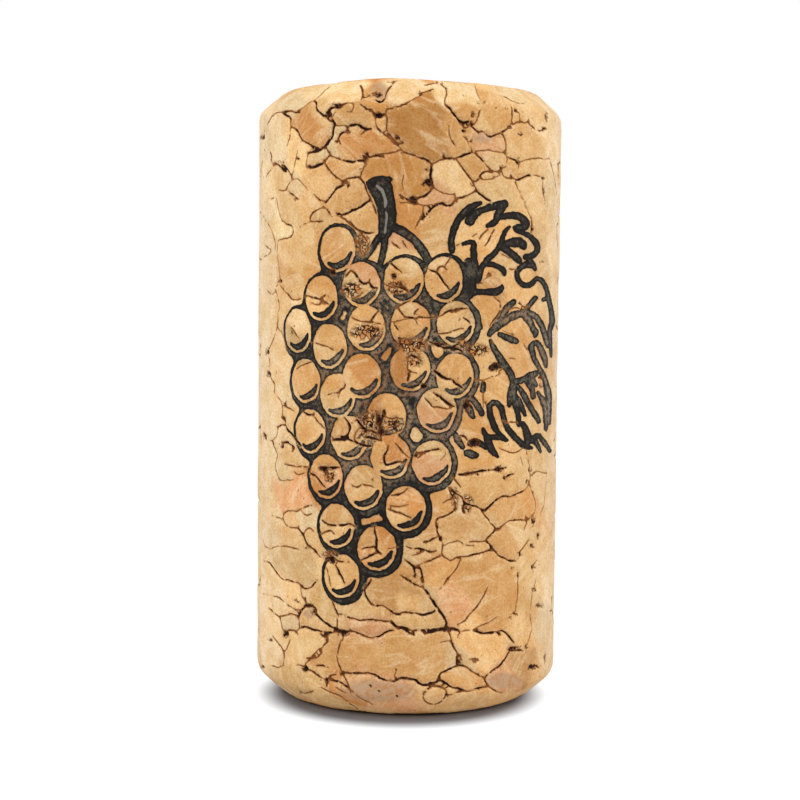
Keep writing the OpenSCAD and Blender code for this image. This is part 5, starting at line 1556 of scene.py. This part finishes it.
class CorkSizes(bpy.types.PropertyGroup):
    """Sizes of the cork and of its print"""

    bevel_in: length("Bevel in", "How far each bevel comes in from the side", 1.9, 1, 3)
    bevel_up: length("Bevel up", "How far each bevel runs along the side", 1.7, 1, 3)
    edge_r: length("Edge radius", "Radius that softens the bevels", 0.6, 0.2, 1)
    granule_w: length("Granule", "Usual width of a granule away from the front", 4.3, 3, 8)
    seam_w: length("Seam", "Half width of a gaping seam", 0.15, 0.02, 0.3)
    seam_depth: length("Seam depth", "Depth of a gaping seam", 0.22, 0.05, 0.5)
    pit_depth: length("Pit depth", "Depth of the torn pits", 0.35, 0.1, 1)
    mesh_step: length("Mesh step", "Height of one ring of faces", 0.178, 0.1, 1)
    grape_w: length("Grape width", "Width of a grape inside its ring", 2.7, 2, 3.2)
    grape_h: length("Grape height", "Height of a grape inside its ring", 3.05, 2, 3.6)
    ring_w: length("Ring", "Thickness of a grape's ring", 0.42, 0.2, 0.8)
    ring_lean: length("Ring lean", "How much thicker the ring is at its lower right", 0.12, 0, 0.3)
    shade_w: length("Shade", "Thickness of the shade in a grape", 0.56, 0.2, 0.8)
    shade_gap: length("Shade gap", "Room between a grape's shade and its ring", 0.14, 0.05, 0.4)
    ink_up: length("Ink lift", "How far the ink lies over the cork", 0.015, 0.005, 0.05)
    ink_depth: length("Ink depth", "Thickness of the layer of ink", 0.06, 0.02, 0.1)
    end_cells: IntProperty(
        name="End cells", description="Faces across each end", default=80, min=20, max=100
    )
    scatter_seed: IntProperty(
        name="Scatter", description="Picks one scatter of the granules", default=4, min=1, max=99
    )


class CorkLooks(bpy.types.PropertyGroup):
    """Colours of the cork and of its print"""

    # The palest grain; the same colour also paints the highlight on the lips of gaping seams
    pale_grain_and_lip_highlight_color: color_property("Pale cork", "Colour of the palest grain", (0.82, 0.63, 0.38))
    flake_color: color_property("Flakes", "Colour of the pale flakes of crumbled cork", (0.58, 0.39, 0.19))
    streak_color: color_property("Streaks", "Colour of the darker grain", (0.48, 0.21, 0.06))
    pore_color: color_property("Pores", "Colour of the small pores", (0.17, 0.055, 0.018))
    rust_color: color_property("Rust", "Colour of the reddest crumbs", (0.50, 0.17, 0.04))
    seam_color: color_property("Seams", "Colour of the narrow seams", (0.19, 0.065, 0.018))
    crack_color: color_property("Cracks", "Colour of the gaping seams and of the pits", (0.022, 0.009, 0.006))
    grey_color: color_property("Bare grey", "Colour of greyish torn granules", (0.42, 0.29, 0.19))
    seam_half: length("Seam line", "Half width of the line in a narrow seam", 0.018, 0.005, 0.1)
    crack_half: length("Crack", "Half width of the dark line in a gaping seam", 0.09, 0.02, 0.3)
    ink_rim: color_property("Ink rim", "Colour of the ink where a line ends", (0.007, 0.005, 0.004))
    ink_dark: color_property("Dark ink", "Colour of the darker flecks of a line", (0.016, 0.013, 0.010))
    ink_grey: color_property("Grey ink", "Colour of the paler flecks of a line", (0.110, 0.095, 0.068))
    ink_wash: color_property("Ink wash", "Tint of thin ink on the cork", (0.42, 0.45, 0.60))
    ink_gleam: color_property("Ink gleam", "Colour of the pale streaks in the stalk", (0.24, 0.215, 0.175))
    floor_color: color_property("Floor", "Colour that the floor throws back on the cork", (0.75, 0.75, 0.77))
    # Painted shadow: the floor colour that the camera sees is darker than the colour the floor throws back;
    # round the foot no glow lifts it, and the real shadow falls on it too
    shadow_color: color_property("Shadow", "Colour of the floor where it lies in shadow", (0.17, 0.17, 0.18))


def dress(mesh, name, material, node):
    """Makes the piece that stands for a node, on the body that carries it."""
    piece = bpy.data.objects.new(name, mesh)
    bpy.context.scene.collection.objects.link(piece)
    mesh.materials.append(material)
    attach(piece, next(iter(frame["bodies"])))
    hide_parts(node)


class CORK_OT_body(bpy.types.Operator):
    """Make the cork body with its granules, seams and pits"""

    bl_idname = "cork.make_body"
    bl_label = "Cork body"

    def execute(self, context):
        mesh = build_cork(context.scene.cork_sizes)
        dress(mesh, "pressed_cork_body", cork_material(context.scene.cork_looks), "cork_body")
        return {"FINISHED"}


class CORK_OT_print(bpy.types.Operator):
    """Make the printed bunch of grapes on the cork body"""

    bl_idname = "cork.make_print"
    bl_label = "Grape print"

    def execute(self, context):
        cork = bpy.data.objects.get("pressed_cork_body")
        if cork is None:
            raise RuntimeError("The print needs the cork body first")
        mesh = build_print(cork.data, context.scene.cork_sizes)
        dress(mesh, "grape_print", ink_material(context.scene.cork_looks), "ink_print")
        return {"FINISHED"}


# --- stage ------------------------------------------------------------------------------------

# Softboxes: place in metres, width in metres, and watts
SOFTBOXES = {
    "left_softbox": ((-0.32, -0.10, 0.22), 0.30, 0.88),
    "right_softbox": ((0.32, -0.10, 0.22), 0.30, 0.88),
    "front_softbox": ((0.0, -0.34, 0.33), 0.30, 0.66),
    "top_softbox": ((0.0, -0.05, 0.42), 0.30, 0.20),
}
WORLD_LEVEL = 0.32
# Where the floor's painted shadow is deepest, against the cork's middle, and how far out it fades, in metres
PAINTED_SHADOW_SHIFT = (0.0003, 0.0022, 0)
PAINTED_SHADOW_FADE = (0.0085, 0.0115)


def add_softbox(name, place, size, watts):
    light = bpy.data.lights.new(name, "AREA")
    light.shape = "DISK"
    light.size = size
    light.energy = watts
    lamp = bpy.data.objects.new(name, light)
    lamp.location = place
    aim = Vector((0, 0, CORK_L / 2 * MM)) - Vector(place)
    lamp.rotation_euler = aim.to_track_quat("-Z", "Y").to_euler()
    bpy.context.scene.collection.objects.link(lamp)


def looked_at(n):
    """1 where the camera, a mirror or glass looks, and 0 for light that falls on the cork."""
    path = n.add("ShaderNodeLightPath")
    seen = n.math("MAXIMUM", path.outputs["Is Glossy Ray"], path.outputs["Is Transmission Ray"])
    return n.math("MAXIMUM", path.outputs["Is Camera Ray"], seen)


def add_floor(looks):
    """A pale floor that fades to white away from the cork. It keeps the cork's real shadow, and round the
    foot it has a painted shadow, where the camera sees a darker floor colour and no white glow.
    """
    bm = bmesh.new()
    bmesh.ops.create_grid(bm, x_segments=4, y_segments=4, size=3)
    mesh = bpy.data.meshes.new("floor")
    bm.to_mesh(mesh)
    bm.free()
    floor = bpy.data.objects.new("floor", mesh)
    bpy.context.scene.collection.objects.link(floor)
    material = bpy.data.materials.new("pale_floor")
    n = Nodes(material)
    seen = looked_at(n)
    place = n.add("ShaderNodeTexCoord").outputs["Object"]
    shifted = n.vector("ADD", place, PAINTED_SHADOW_SHIFT)
    away = n.add("ShaderNodeVectorMath", {0: shifted}, operation="LENGTH").outputs["Value"]
    # Painted shadow: for the camera the floor takes the darker colour, which the lamps light as usual
    matte = n.add("ShaderNodeBsdfDiffuse", {"Color": n.mix(seen, looks.floor_color, looks.shadow_color)})
    # Away from the cork a white glow lifts the floor to white; round the foot the glow fades out, which
    # paints a shadow there
    glow_past_painted_shadow = n.times(seen, n.ramp(away, *PAINTED_SHADOW_FADE, 0.0, 1.0))
    glow = n.add("ShaderNodeEmission", {"Color": (1, 1, 1, 1), "Strength": glow_past_painted_shadow})
    both = n.add("ShaderNodeAddShader", {0: matte.outputs[0], 1: glow.outputs[0]})
    n.finish(both)
    mesh.materials.append(material)


def add_world():
    world = bpy.data.worlds.new("white_room")
    bpy.context.scene.world = world
    n = Nodes(world)
    strength = n.ramp(looked_at(n), 0, 1, WORLD_LEVEL, 1.0, smooth=False)
    back = n.add("ShaderNodeBackground", {"Color": (1, 1, 1, 1), "Strength": strength})
    n.finish(back, "ShaderNodeOutputWorld")


def add_camera(scene):
    data = bpy.data.cameras.new("camera")
    data.lens = CAMERA_LENS
    data.sensor_width = CAMERA_SENSOR
    data.clip_start = 0.005
    data.clip_end = 20
    camera = bpy.data.objects.new("camera", data)
    camera.matrix_world = Matrix.Translation(Vector(CAMERA_PLACE) * MM) @ camera_turn().to_4x4()
    scene.collection.objects.link(camera)
    scene.camera = camera


class CORK_OT_stage(bpy.types.Operator):
    """Make the floor, the lights and the camera"""

    bl_idname = "cork.make_stage"
    bl_label = "Stage"

    def execute(self, context):
        scene = context.scene
        add_floor(scene.cork_looks)
        add_world()
        for name, (place, size, watts) in SOFTBOXES.items():
            add_softbox(name, place, size, watts)
        add_camera(scene)
        scene.view_settings.view_transform = "Standard"
        return {"FINISHED"}


class CORK_PT_panel(bpy.types.Panel):
    """Lists the steps that make the cork"""

    bl_idname = "CORK_PT_panel"
    bl_label = "Cork stopper"
    bl_space_type = "VIEW_3D"
    bl_region_type = "UI"
    bl_category = "Cork"

    def draw(self, context):
        for group in (context.scene.cork_sizes, context.scene.cork_looks):
            for name in group.bl_rna.properties.keys():
                if name not in ("rna_type", "name"):
                    self.layout.prop(group, name)
        for step in STEPS:
            self.layout.operator(step)


STEPS = ("cork.make_body", "cork.make_print", "cork.make_stage")
CLASSES = (CorkSizes, CorkLooks, CORK_OT_body, CORK_OT_print, CORK_OT_stage, CORK_PT_panel)


def register():
    for cls in CLASSES:
        bpy.utils.register_class(cls)
    bpy.types.Scene.cork_sizes = PointerProperty(type=CorkSizes)
    bpy.types.Scene.cork_looks = PointerProperty(type=CorkLooks)


def unregister():
    del bpy.types.Scene.cork_looks
    del bpy.types.Scene.cork_sizes
    for cls in reversed(CLASSES):
        bpy.utils.unregister_class(cls)


def main():
    register()
    bpy.ops.cork.make_body()
    bpy.ops.cork.make_print()
    bpy.ops.cork.make_stage()


if __name__ == "__main__":
    main()
